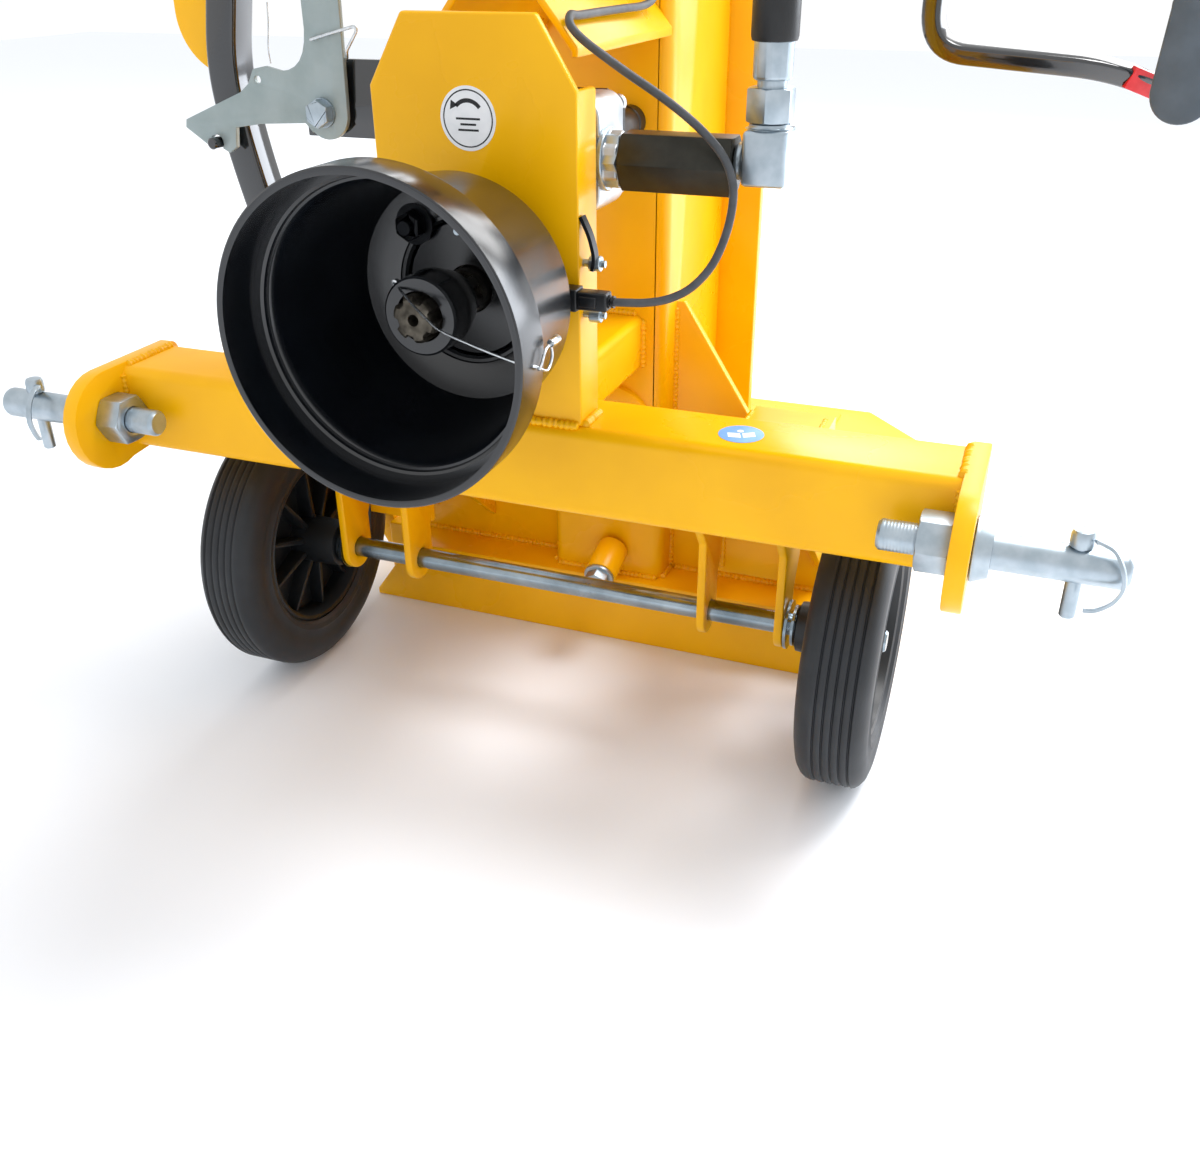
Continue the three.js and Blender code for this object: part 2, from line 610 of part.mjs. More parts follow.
// Forged elbow: a square-sided body turning from the adapter up to the hose.
function elbow() {
  const x = PORT.elbow;
  const block = box(PORT.end + 8, portY - 17, PORT.z - 12, x + 17, portY + 17, PORT.z + 28);
  const neck = rod(14, PORT.end + GAP, PORT.end + 10, "x", 16).translate(0, portY, PORT.z + 4);
  const collar = rod(15, PORT.z + 27, PORT.z + 32, "z", 20).translate(x, portY, 0);
  return join(block, neck, collar);
}
piece("elbow_fitting", elbow(), ZINC());
function hoseEnd() {
  const nut = hexagon(32, PORT.z + 32.3, PORT.z + 56, "z");
  const neck = rod(11, PORT.z + 55, PORT.z + 62, "z", 18);
  const ferrule = rod(15, PORT.z + 61, PORT.z + 104, "z", 20);
  return join(nut, neck, ferrule).translate(PORT.elbow, portY, 0);
}

const hoseRoute = [
  V(PORT.elbow, portY, PORT.z + 100), V(PORT.elbow, portY, 720), V(PORT.elbow + 2, portY, 800),
  V(PORT.elbow, portY + 4, 880), V(196, portY + 20, 950), V(176, portY + 60, 1005), V(148, portY + 120, 1042),
  V(112, VALVE.portY - 3, VALVE.portZ), V(102, VALVE.portY, VALVE.portZ),
  V(VALVE.half + 22.3, VALVE.portY, VALVE.portZ),
];
piece("pressure_hose", join(bar(circle(13, 10), curve(hoseRoute, 28)), hoseEnd()), BLACK());

// ---------- control valve and tank fittings ----------
const SPOOL = { x: -30, y: -118 };
const PORTS = [-2, 38];
function valveBody() {
  const block = box(-VALVE.half, VALVE.y, VALVE.z0, VALVE.half, COLUMN.front - GAP, VALVE.z1);
  const { half, z0, z1, portY, portZ } = VALVE;
  const inlet = hexagon(30, half - 1, half + 22, "x").translate(0, portY, portZ);
  const bore = rod(10.4, z0 - 1, z1 + 1, "z", 18).translate(SPOOL.x, SPOOL.y, 0);
  const ports = PORTS.map((x) => hexagon(26, z1 - 1, z1 + 18, "z").translate(x, portY, 0));
  return cut(join(block, inlet, ...ports), bore);
}
piece("valve_body", valveBody(), BLACK());
piece(
  "valve_spool",
  join(rod(10, VALVE.z0 - 22, VALVE.z1 + 14, "z", 18), rod(6, VALVE.z0 - 40, VALVE.z0 - 21, "z", 12))
    .translate(SPOOL.x, SPOOL.y, 0),
  CHROME(),
);
// Rocker under the spool, pulled by the rods of both control arms.
function rocker() {
  const tab = VALVE.z0 - 40 - GAP;
  const face = outline([
    [-120, 950], [-112, 936], [112, 936], [120, 950], [60, 964], [SPOOL.x + 12, 964], [SPOOL.x + 8, tab],
    [SPOOL.x - 8, tab], [SPOOL.x - 12, 964], [-60, 964],
  ]);
  return alongY(face, SPOOL.y - 3, 6);
}
piece("valve_rocker", rocker(), ZINC());

// Hoses from the valve to the two ends of the cylinder, each with straight ends.
const portTop = VALVE.z1 + 18.3;
piece(
  "cylinder_hose_upper",
  bar(circle(9, 8), curve([
    V(PORTS[1], VALVE.portY, portTop), V(PORTS[1], VALVE.portY, portTop + 30), V(44, -114, 1240), V(70, -106, 1340),
    V(116, -50, 1470), V(134, 70, 1610), V(134, 160, 1740), V(126, 216, 1830), V(104, CYLINDER.y, 1868),
    V(92, CYLINDER.y, 1868), V(70.3, CYLINDER.y, 1868),
  ], 30)),
  BLACK(),
);
piece(
  "cylinder_hose_lower",
  bar(circle(9, 8), curve([
    V(PORTS[0], VALVE.portY, portTop), V(PORTS[0], VALVE.portY, portTop + 30), V(-14, -113, 1250),
    V(-70, -106, 1320), V(-136, -40, 1340), V(-166, 70, 1300), V(-160, 170, 1230), V(-124, CYLINDER.y - 6, 1168),
    V(-104, CYLINDER.y, 1165), V(-92, CYLINDER.y, 1165), V(-70.3, CYLINDER.y, 1165),
  ], 30)),
  BLACK(),
);

// Short suction pipe from the tank column to the back of the pump.
piece(
  "suction_pipe",
  rod(15, GEARBOX.y + 72 + GAP, COLUMN.front - GAP, "y", 20).translate(26, 0, PORT.z),
  BLACK(),
);

piece(
  "filler_cap",
  join(
    rod(27, COLUMN.top + 30.3, COLUMN.top + 48, "z", 16),
    rod(4, COLUMN.top - 160, COLUMN.top + 31, "z", 10),
  ).translate(0, FILLER_Y, 0),
  PLASTIC(),
);

piece(
  "drain_plug",
  onDrain(join(rod(17, -50, -46.3, "y", 20), hexagon(24, -60, -49, "y"), rod(8.6, -47, -26, "y", 16))),
  ZINC(),
);

// ---------- upper hitch ----------
piece(
  "top_link_pin",
  join(rod(12.5, -62, 50, "x", 20), rod(19, -62, -54, "x", 20)).translate(0, TOP_LINK.y, TOP_LINK.z),
  ZINC(),
);

// ---------- splitting carriage, wedge and cylinder ----------
const guideFront = COLUMN.back;
const guideBack = COLUMN.back + GUIDE.thick;
function carriage() {
  const { half, claw, bottom, height } = CARRIAGE;
  const inside = GUIDE.half + 1;
  const clawEdge = COLUMN.half + 6;
  const section = outline([
    [-half, claw], [-clawEdge, claw], [-clawEdge, guideFront - 0.8], [-inside, guideFront - 0.8],
    [-inside, guideBack + 0.8], [inside, guideBack + 0.8], [inside, guideFront - 0.8], [clawEdge, guideFront - 0.8],
    [clawEdge, claw], [half, claw], [half, guideBack + 22], [-half, guideBack + 22],
  ]);
  const slide = alongZ(section, bottom, height);
  const boss = box(-48, guideBack + 20, bottom + height - 70, 48, CYLINDER.y + 42, bottom + height);
  const eye = rod(14, bottom + height - 40, bottom + height + 1, "z", 16).translate(0, CYLINDER.y, 0);
  return cut(join(slide, boss), eye);
}
piece("splitting_carriage", carriage(), YELLOW());

// Wedge: a tapered blade that widens upwards into two flared cheeks.
function wedge() {
  const root = guideBack + 22 + GAP;
  const tip = 400;
  const low = CARRIAGE.bottom - 12;
  const high = CARRIAGE.bottom + 228;
  const section = outline([
    [0, low], [7, low + 34], [12, low + 60], [12, high - 110], [46, high - 40], [46, high],
    [-46, high], [-46, high - 40], [-12, high - 110], [-12, low + 60], [-7, low + 34],
  ]);
  const bar = alongY(section, root, tip - root);
  const slope = alongX(outline([[tip + 1, high - 150], [tip + 1, high + 1], [tip - 110, high + 1]]), -60, 120);
  return cut(bar, slope);
}
piece("splitting_wedge", wedge(), STEEL());

function barrel() {
  const { bore, radius, bottom, top } = CYLINDER;
  const shell = turned(
    [[bore, bottom], [radius, bottom], [radius, top], [0, top], [0, top - 22], [bore, top - 22], [bore, bottom]],
    "z",
    32,
  ).translate(0, CYLINDER.y, 0);
  const upper = box(radius - 3, CYLINDER.y - 12, 1856, 70, CYLINDER.y + 12, 1880);
  const lower = box(-70, CYLINDER.y - 12, 1153, -radius + 3, CYLINDER.y + 12, 1177);
  return join(shell, upper, lower);
}
piece("cylinder_barrel", barrel(), YELLOW());
piece(
  "cylinder_gland",
  ring(CYLINDER.rod + GAP, CYLINDER.bore - GAP, CYLINDER.bottom - 8, CYLINDER.bottom + 26, "z", 32)
    .translate(0, CYLINDER.y, 0),
  ZINC(),
);
const rodFoot = CARRIAGE.bottom + CARRIAGE.height;
piece(
  "piston_rod",
  join(
    rod(12, rodFoot - 38, rodFoot + 1, "z", 16),
    rod(CYLINDER.rod, rodFoot + GAP, CYLINDER.top - 60, "z", 24),
    rod(CYLINDER.bore - GAP, CYLINDER.top - 62, CYLINDER.top - 26, "z", 32),
  ).translate(0, CYLINDER.y, 0),
  CHROME(),
);
// Clamp block that carries the barrel on the head of the guide.
function barrelClamp() {
  const face = outline([[-75, guideBack + GAP], [75, guideBack + GAP], [75, 240], [52, 296], [-52, 296], [-75, 240]]);
  const hole = rod(CYLINDER.radius + GAP, 1399, 1471, "z", 32).translate(0, CYLINDER.y, 0);
  return cut(alongZ(face, 1400, 70), hole);
}
piece("barrel_clamp", barrelClamp(), YELLOW());

// ---------- control arms ----------
// Built for the right side; the left one is its mirror image, turned about the arm pivots.
const armRest = { left: THREE.MathUtils.degToRad(LEFT_ARM_RAISE), right: 0 };

function armBracket() {
  const plate = box(COLUMN.half + GAP, -50, 930, COLUMN.half + 8, 90, 1030);
  const arm = box(COLUMN.half + 7, ARM.pivotY - 14, 966, ARM.pivotX - 18, ARM.pivotY + 14, 994);
  const pin = rod(9, ARM.pivotX - 19, ARM.pivotX + 20, "x", 16).translate(0, ARM.pivotY, ARM.pivotZ);
  return join(plate, arm, pin);
}

function armTube() {
  const { tube, pivotX, pivotY, pivotZ, reachX, reachY } = ARM;
  const grip = GRIP;
  const route = bends([
    V(pivotX, pivotY, pivotZ), V(pivotX, pivotY + 70, pivotZ), V(reachX, reachY, pivotZ - 6),
    V(reachX, reachY, 603), V(reachX + 198, reachY, 588), V(grip.x, grip.y, 560), V(grip.x, grip.y, grip.z),
  ], 42, 5);
  const collar = ring(9.4, 19, pivotX - 15, pivotX + 17, "x", 20).translate(0, pivotY, pivotZ);
  const bore = rod(9.4, pivotX - 20, pivotX + 24, "x", 20).translate(0, pivotY, pivotZ);
  return cut(join(bar(squareSection(tube), route), collar, logClaw()), bore);
}

function armGrip() {
  const { x, y, z } = GRIP;
  const low = z + GAP;
  const sleeve = turned(
    [[0, low], [15, low], [17, low + 6], [16, z + 80], [17, z + 132], [13, z + 140], [0, z + 140]], "z", 18,
  );
  return sleeve.translate(x, y, 0);
}

function handGuard() {
  const x0 = ARM.reachX + 240;
  const width = 66;
  const shape = new THREE.Shape();
  const r = width / 2;
  shape.absarc(x0 + r, 568, r, Math.PI, Math.PI * 2);
  shape.lineTo(x0 + width - 4, 790);
  shape.absarc(x0 + r + 4, 790, r - 8, 0, Math.PI);
  shape.closePath();
  return alongY(shape, ARM.reachY - 22, 5, 8);
}

// Log claw on the inside of the arm: a stubby tooth plate that steadies the log.
function logClaw() {
  const x = ARM.reachX - ARM.tube / 2 + 3;
  const tooth = outline([
    [x, 700], [x, 840], [x - 60, 836], [x - 74, 822], [x - 60, 806], [x - 74, 786], [x - 60, 768], [x - 74, 750],
    [x - 60, 732],
  ]);
  return alongY(tooth, ARM.reachY - 4, 8);
}

for (const { name, s } of sides) {
  piece(name + "_arm_bracket", toSide(armBracket(), s), YELLOW());
  const turn = (geometry) =>
    toSide(geometry, s)
      .translate(0, -ARM.pivotY, -ARM.pivotZ)
      .rotateX(armRest[name])
      .translate(0, ARM.pivotY, ARM.pivotZ);
  piece(name + "_control_arm", turn(armTube()), BLACK());
  piece(name + "_hand_grip", turn(armGrip()), PLASTIC());
  piece(name + "_hand_guard", turn(handGuard()), PLASTIC());
}

// ---------- log lifter ----------
function lifterFrame() {
  const { tube, y, pivotX, pivotZ, rearY } = LIFTER;
  const section = squareSection(tube, 4);
  const bow = bar(section, bends([
    V(pivotX, y, pivotZ), V(pivotX - 24, y, 190), V(-375, y, 320), V(-424, y, 513), V(-437, y, 596),
    V(-404, y, 760), V(-404, y, 840),
  ], 34, 4));
  const rear = bar(section, bends([V(pivotX, rearY, pivotZ), V(pivotX - 24, rearY, 190), V(-384, rearY, 352)], 34, 4));
  const tie = box(-388, y, 306, -352, rearY, 342);
  const collars = [y, rearY].map((at) => rod(22, at - 18, at + 18, "y", 20).translate(pivotX, 0, pivotZ));
  const catchPin = rod(6, -106, y - tube / 2 + 3, "y", 14).translate(CATCH.x, 0, CATCH.z);
  const bore = rod(9, y - 24, rearY + 24, "y", 16).translate(pivotX, 0, pivotZ);
  return cut(join(bow, rear, tie, ...collars, catchPin), bore);
}
piece("lifter_frame", lifterFrame(), BLACK());

// Fixed pin of the lifter with its two ears on the side of the base.
function lifterHinge() {
  const { y, pivotX, pivotZ, rearY } = LIFTER;
  const pin = rod(8.5, y - 22, rearY + 24, "y", 16).translate(pivotX, 0, pivotZ);
  const side = -BASE.half - GAP;
  const shape = outline([
    [side, 20], [side, 78], [pivotX + 6, pivotZ + 18], [pivotX - 14, pivotZ + 14], [pivotX - 18, pivotZ - 10],
  ]);
  return join(pin, alongY(shape, y + 19, 10), alongY(shape, rearY - 29, 10));
}
piece("lifter_hinge", lifterHinge(), YELLOW());
// Rounded yellow plate outside the bow: the log rests on it as it is tipped up.
function lifterShoe() {
  const shape = new THREE.Shape();
  shape.moveTo(-420, 820);
  shape.lineTo(-426, 600);
  shape.lineTo(-470, 592);
  shape.absarc(-448, 650, 62, Math.PI * 1.38, Math.PI, true);
  shape.lineTo(-506, 820);
  shape.closePath();
  return alongY(shape, LIFTER.y + LIFTER.tube / 2 + GAP, 8, 6);
}
piece("lifter_shoe", lifterShoe(), YELLOW());

// ---------- transport latch ----------
piece(
  "latch_bracket",
  join(
    box(-330, -83, 538, -COLUMN.half - GAP, -75, 613),
    rod(8, -102, -82, "y", 16).translate(LATCH.pivotX, 0, LATCH.pivotZ),
  ),
  BLACK(),
);
function latchPlate() {
  const shape = new THREE.Shape();
  shape.moveTo(-312, 800);
  shape.lineTo(-313, 640);
  shape.quadraticCurveTo(-316, 602, -346, 601);
  shape.lineTo(-365, 605);
  shape.lineTo(-380, 602);
  shape.lineTo(-388, 588);
  shape.lineTo(-400, 579);
  shape.lineTo(-474, 550);
  shape.lineTo(-476, 542);
  shape.lineTo(-449, 524);
  shape.absarc(CATCH.x, CATCH.z, 8, Math.PI * 1.15, -Math.PI * 0.25, true);
  shape.lineTo(-424, 518);
  shape.lineTo(-414, 524);
  shape.lineTo(-411, 544);
  shape.lineTo(-380, 549);
  shape.lineTo(-324, 552);
  shape.lineTo(-316, 543);
  shape.absarc(-298, 562, 25, -Math.PI * 0.75, 0);
  shape.lineTo(-270, 660);
  shape.lineTo(-268, 800);
  shape.closePath();
  roundHole(shape, LATCH.pivotX, LATCH.pivotZ, 8.6);
  roundHole(shape, -376, 592, 4);
  return alongY(shape, LATCH.y - LATCH.thick, LATCH.thick, 6);
}
piece("latch_plate", latchPlate(), ZINC());
piece(
  "latch_bolt",
  cut(hexagon(24, -110, LATCH.y - LATCH.thick - GAP, "y"), rod(8.2, -104, -80, "y", 16))
    .translate(LATCH.pivotX, 0, LATCH.pivotZ),
  ZINC(),
);
// ---------- sensor cable ----------
function cablePlug() {
  return join(box(62, -368, 466, 92, PUMP_PLATE.front - GAP, 484), box(90, -366, 468, 112, -352, 482));
}
const cableRoute = [
  V(110, -359, 475), V(122, -357, 475), V(136, -352, 475), V(152, -346, 478), V(167, -338, 486),
  V(180, -330, 502), V(188, -324, 524), V(191, -320, 546), V(189, -318, 562), V(181, -317, 578),
  V(166, -316, 593), V(148, -314, 606), V(128, -312, 618), V(108, -311, 629), V(88, -311, 641), V(70, -312, 653),
  V(60, -310, 662), V(56, -300, 668), V(56, -284, 667), V(56, -240, 667), V(57, -190, 667), V(58, -140, 667),
  V(59, -116, 672), V(60, -104, 686), V(60, -98, 700), V(58, -97, 715), V(58, -97, 729.7),
];
piece("sensor_cable", join(bar(circle(3.2, 8), curve(cableRoute, 56)), cablePlug()), BLACK());
piece("cable_socket", box(44, -114, 730, 74, COLUMN.front - GAP, 775), PLASTIC());

export default splitter;
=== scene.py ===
import math
import random

import bmesh
import bpy
from mathutils import Matrix, Vector, noise


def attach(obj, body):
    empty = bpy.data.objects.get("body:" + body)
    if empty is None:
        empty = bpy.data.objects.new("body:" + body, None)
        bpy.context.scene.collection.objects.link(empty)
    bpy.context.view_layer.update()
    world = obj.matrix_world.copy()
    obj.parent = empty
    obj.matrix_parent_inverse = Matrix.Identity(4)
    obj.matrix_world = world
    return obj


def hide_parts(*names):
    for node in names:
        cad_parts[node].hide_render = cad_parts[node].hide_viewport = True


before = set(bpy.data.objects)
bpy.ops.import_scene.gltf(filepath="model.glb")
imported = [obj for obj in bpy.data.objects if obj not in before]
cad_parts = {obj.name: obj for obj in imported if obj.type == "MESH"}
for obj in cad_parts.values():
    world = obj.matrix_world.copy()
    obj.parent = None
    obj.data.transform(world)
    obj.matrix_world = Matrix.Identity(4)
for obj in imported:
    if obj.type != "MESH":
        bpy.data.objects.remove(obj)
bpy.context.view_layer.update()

# ---------------------------------------------------------------------------
# Camera. It stands in front of the tractor side, to the right and above, and
# looks down at the hitch, so the upper half of the machine is out of view.
# ---------------------------------------------------------------------------
MM = 0.001
bpy.ops.object.camera_add(location=(0, 0, 0))
camera = bpy.context.object
camera.name = "camera"
camera.data.sensor_width = 36.0
camera.data.lens = 34.94
camera.data.clip_end = 60.0
camera_turn = Matrix(((0.9344, -0.1674, 0.3144), (0.3562, 0.4551, -0.8161), (-0.0064, 0.8746, 0.4849)))
camera.matrix_world = Matrix.Translation((0.4163, -1.1830, 0.7182)) @ camera_turn.to_4x4()
bpy.context.scene.camera = camera
bpy.context.scene.view_settings.view_transform = "Standard"


# ---------------------------------------------------------------------------
# Studio floor and light. White floor and surround, with wide lamps behind,
# above and to the right: pale tops, and soft shadows that fall forwards.
# ---------------------------------------------------------------------------
def colour(code):
    """Linear red, green, blue and alpha of an sRGB hex value."""
    channels = [int(code[i : i + 2], 16) / 255 for i in (1, 3, 5)]
    linear = [c / 12.92 if c <= 0.04045 else ((c + 0.055) / 1.055) ** 2.4 for c in channels]
    return (*linear, 1.0)


def add(tree, kind, settings=None, links=None):
    """A new node of a tree, with its settings made and its inputs linked."""
    made = tree.nodes.new(kind)
    for key, value in (settings or {}).items():
        if key in made.inputs:
            made.inputs[key].default_value = value
        else:
            setattr(made, key, value)
    for key, socket in (links or {}).items():
        tree.links.new(socket, made.inputs[key])
    return made


def new_finish(name):
    """An empty material with its output node."""
    material = bpy.data.materials.new(name)
    material.use_nodes = True
    material.node_tree.nodes.clear()
    return material, material.node_tree, add(material.node_tree, "ShaderNodeOutputMaterial")


world = bpy.data.worlds.new("studio")
bpy.context.scene.world = world
world.use_nodes = True
world.node_tree.nodes["Background"].inputs["Color"].default_value = (0.98, 0.99, 1.0, 1.0)
world.node_tree.nodes["Background"].inputs["Strength"].default_value = 1.03


def lamp(name, place, aim, size, watts, tint="#FFFFFF"):
    """A square soft lamp that looks at a point."""
    bpy.ops.object.light_add(type="AREA", location=place)
    made = bpy.context.object
    made.name = name
    made.data.shape = "RECTANGLE"
    made.data.size, made.data.size_y = size
    made.data.energy = watts
    made.data.color = colour(tint)[:3]
    made.rotation_euler = (Vector(aim) - Vector(place)).to_track_quat("-Z", "Y").to_euler()
    return made


lamp("lamp_back", (0.6, 3.2, 2.5), (0.0, -0.3, 0.4), (4.2, 2.0), 130)
lamp("lamp_side", (2.5, 2.5, 1.0), (0.0, -0.2, 0.5), (1.8, 1.6), 60, "#F0F6FF")
lamp("lamp_top", (1.3, 0.7, 3.1), (0.0, -0.2, 0.2), (1.3, 1.1), 66)

floor_paint, tree, output = new_finish("white_studio_floor")
shader = add(tree, "ShaderNodeBsdfPrincipled", {"Base Color": colour("#F6F9FE"), "Roughness": 0.9})
tree.links.new(shader.outputs["BSDF"], output.inputs["Surface"])
bpy.ops.mesh.primitive_plane_add(size=16, location=(0, 0, 0))
floor = bpy.context.object
floor.name = "studio_floor"
floor.data.materials.append(floor_paint)


# ---------------------------------------------------------------------------
# Steel weldments: base tray, column with its gussets, guide plate, hitch beam.
# Cut and folded plate and tube, welded, then powder coated in glossy yellow.
# ---------------------------------------------------------------------------
def patterned(name, low, high, size, rough, bump=0.0, grain=1.0, **shader_values):
    """A finish whose colour drifts between two hex values over patches of a size in millimetres,
    with a roughness range and a grain of bumps, also in millimetres."""
    material, tree, output = new_finish(name)
    place = add(tree, "ShaderNodeTexCoord").outputs["Object"]
    drift = add(tree, "ShaderNodeTexNoise", {"Scale": 1000 / size, "Detail": 3.0}, {"Vector": place})
    tones = add(tree, "ShaderNodeValToRGB", links={"Fac": drift.outputs["Fac"]})
    tones.color_ramp.elements[0].position = 0.35
    tones.color_ramp.elements[1].position = 0.65
    tones.color_ramp.elements[0].color = colour(low)
    tones.color_ramp.elements[1].color = colour(high)
    wipe = add(tree, "ShaderNodeTexNoise", {"Scale": 400 / size, "Detail": 5.0}, {"Vector": place})
    spread = add(
        tree,
        "ShaderNodeMapRange",
        {"From Min": 0.3, "From Max": 0.7, "To Min": rough[0], "To Max": rough[1]},
        {"Value": wipe.outputs["Fac"]},
    )
    shader = add(
        tree,
        "ShaderNodeBsdfPrincipled",
        shader_values,
        {"Base Color": tones.outputs["Color"], "Roughness": spread.outputs["Result"]},
    )
    if bump:
        peel = add(tree, "ShaderNodeTexNoise", {"Scale": 1000 / grain, "Detail": 2.0}, {"Vector": place})
        relief = add(
            tree, "ShaderNodeBump", {"Strength": bump, "Distance": 0.0004}, {"Height": peel.outputs["Fac"]}
        )
        tree.links.new(relief.outputs["Normal"], shader.inputs["Normal"])
    tree.links.new(shader.outputs["BSDF"], output.inputs["Surface"])
    return material


# Powder coat: a thick glossy film with faint orange peel, drawn coarser than it is so that it shows.
yellow_coat = patterned(
    "powder_coat_yellow", "#F3B200", "#FBBB00", 90, (0.24, 0.36), 0.1, 3.2, **{"Specular IOR Level": 0.3}
)


def clear_selection():
    """Leaves edit mode with nothing selected."""
    if bpy.context.object and bpy.context.object.mode != "OBJECT":
        bpy.ops.object.mode_set(mode="OBJECT")
    bpy.ops.object.select_all(action="DESELECT")


def choose(piece):
    clear_selection()
    piece.select_set(True)
    bpy.context.view_layer.objects.active = piece


def smooth(piece, degrees=32):
    choose(piece)
    bpy.ops.object.shade_smooth_by_angle(angle=math.radians(degrees))


def bevelled(piece, width, segments=2, degrees=34):
    """Rounds every sharp edge of a piece, by a width in millimetres."""
    choose(piece)
    edge = piece.modifiers.new("edges", "BEVEL")
    edge.width = width * MM
    edge.segments = segments
    edge.limit_method = "ANGLE"
    edge.angle_limit = math.radians(degrees)
    edge.use_clamp_overlap = False
    bpy.ops.object.modifier_apply(modifier="edges")
    return piece


def softened(node, width=1.2, segments=2, degrees=34):
    """A copy of a CAD node with its loose triangles merged and its cut edges rounded."""
    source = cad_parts[node]
    mesh = source.data.copy()
    build = bmesh.new()
    build.from_mesh(mesh)
    bmesh.ops.remove_doubles(build, verts=build.verts, dist=0.00002)
    bmesh.ops.dissolve_limit(build, angle_limit=math.radians(0.8), verts=build.verts, edges=build.edges)
    build.to_mesh(mesh)
    build.free()
    piece = bpy.data.objects.new(node + "_piece", mesh)
    bpy.context.scene.collection.objects.link(piece)
    bevelled(piece, width, segments, degrees)
    smooth(piece)
    return piece


def fitted(piece, name, body, slot, finish, *nodes):
    """Names a finished piece, gives it its finish and body, and hides the CAD nodes it stands for."""
    clear_selection()
    piece.data.transform(piece.matrix_world)
    piece.matrix_world = Matrix.Identity(4)
    piece.name = piece.data.name = name
    piece.data.materials.clear()
    piece.data.materials.append(finish)
    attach(piece, body)
    if nodes:
        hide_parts(*nodes)
    return piece


for node, edge in (("base_platform", 1.6), ("column", 1.2), ("guide_plate", 1.4), ("hitch_beam", 1.2)):
    fitted(softened(node, edge), node + "_steel", "frame", "yellow_paint", yellow_coat, node)


# ---------------------------------------------------------------------------
# Weld beads along the joints of the frame. Each is a row of overlapping ripples
# of weld metal, about 6 mm wide, under the same coat of paint.
# ---------------------------------------------------------------------------
def mesh_piece(name, corners, faces):
    mesh = bpy.data.meshes.new(name)
    mesh.from_pydata([tuple(c) for c in corners], [], faces)
    mesh.validate()
    piece = bpy.data.objects.new(name, mesh)
    bpy.context.scene.collection.objects.link(piece)
    choose(piece)
    bpy.ops.object.mode_set(mode="EDIT")
    bpy.ops.mesh.select_all(action="SELECT")
    bpy.ops.mesh.normals_make_consistent(inside=False)
    bpy.ops.object.mode_set(mode="OBJECT")
    return piece


def swept(section, route, swell=None, closed=False):
    """A bar of a section in millimetres drawn along a route, mitred where the route turns."""
    route = [Vector(p) * MM for p in route]
    count = len(section)
    along = (route[1] - route[0]).normalized()
    if closed:
        along = (route[0] - route[-1]).normalized()
    up = Vector((0, 0, 1)) if abs(along.y) > 0.9 else Vector((0, 1, 0))
    lift = (up - along * up.dot(along)).normalized()
    corners = []
    for i, point in enumerate(route):
        if i < len(route) - 1:
            ahead = (route[i + 1] - point).normalized()
        else:
            ahead = (route[0] - point).normalized() if closed else along
        plane = (along + ahead).normalized()
        side = along.cross(lift)
        scale = MM * (swell(i) if swell else 1.0)
        for a, b in section:
            corner = side * a * scale + lift * b * scale
            corner = corner - along * (corner.dot(plane) / max(0.2, along.dot(plane)))
            corners.append(point + corner)
        lift = (lift - ahead * lift.dot(ahead)).normalized()
        along = ahead
    faces = []
    runs = len(route) if closed else len(route) - 1
    for i in range(runs):
        j = (i + 1) % len(route)
        for k in range(count):
            n = (k + 1) % count
            faces.append((i * count + k, i * count + n, j * count + n, j * count + k))
    if not closed:
        faces.append(tuple(range(count)))
        faces.append(tuple((len(route) - 1) * count + k for k in range(count)))
    return mesh_piece("bar", corners, faces)


def ring_section(radius, sides):
    angles = [math.tau * k / sides for k in range(sides)]
    return [(radius * math.cos(a), radius * math.sin(a)) for a in angles]


def bends(corners, reach, steps=10):
    """The route through some corners, each rounded from a reach before it to the same reach after it."""
    corners = [Vector(c) for c in corners]
    route = [corners[0]]
    for before, here, after in zip(corners, corners[1:], corners[2:]):
        start = here.lerp(before, min(0.49, reach / (before - here).length))
        end = here.lerp(after, min(0.49, reach / (after - here).length))
        for k in range(steps + 1):
            t = k / steps
            route.append(start * (1 - t) ** 2 + here * 2 * t * (1 - t) + end * t * t)
    route.append(corners[-1])
    return route


def joined(name, pieces):
    """Several loose meshes made one object."""
    choose(pieces[0])
    for piece in pieces:
        piece.select_set(True)
    bpy.ops.object.join()
    pieces[0].name = name
    return pieces[0]


def weld(start, end, size=4.2):
    """A rippled bead from one point to another, both in millimetres."""
    start, end = Vector(start), Vector(end)
    count = max(6, int((end - start).length / 1.5))
    draw = random.Random(int((start.x + 3 * start.y + 7 * start.z) * 10))
    route = [start.lerp(end, k / count) for k in range(count + 1)]
    ripple = [0.86 + 0.16 * math.sin(k * 1.9) + draw.uniform(-0.06, 0.06) for k in range(count + 1)]
    ripple[0] = ripple[-1] = 0.5
    bead = swept(ring_section(size, 8), route, lambda i: ripple[i])
    smooth(bead, 60)
    return bead


beads = []
for s in (-1, 1):
    beads += [
        weld((s * 384, -348, 366), (s * 384, -284, 366), 4.8),
        weld((s * 384, -356, 292), (s * 384, -356, 360), 4.0),
        weld((s * 65, -45, 384), (s * 65, -45, 84)),
        weld((s * 70, -45, 81), (s * 270, -45, 81)),
        weld((s * 106, 141, 82), (s * 66, 141, 82)),
        weld((s * 65, -76, 81), (s * 65, 120, 81)),
        weld((s * 155, -276, 286), (s * 155, -60, 286), 3.4),
        weld((s * 231, -276, 286), (s * 231, -60, 286), 3.4),
        weld((s * 164, -192, 172), (s * 164, -192, 280), 3.2),
    ]
beads += [
    weld((-88, -351, 367), (78, -351, 367), 4.4),
    weld((82, -348, 367), (82, -314, 367), 4.6),
    weld((-60, -80, 81), (60, -80, 81)),
    weld((40, -81, 328), (40, -81, 378), 4.6),
    weld((-40, -81, 328), (-40, -81, 378), 4.6),
    weld((-34, -81, 383), (34, -81, 383), 4.2),
]
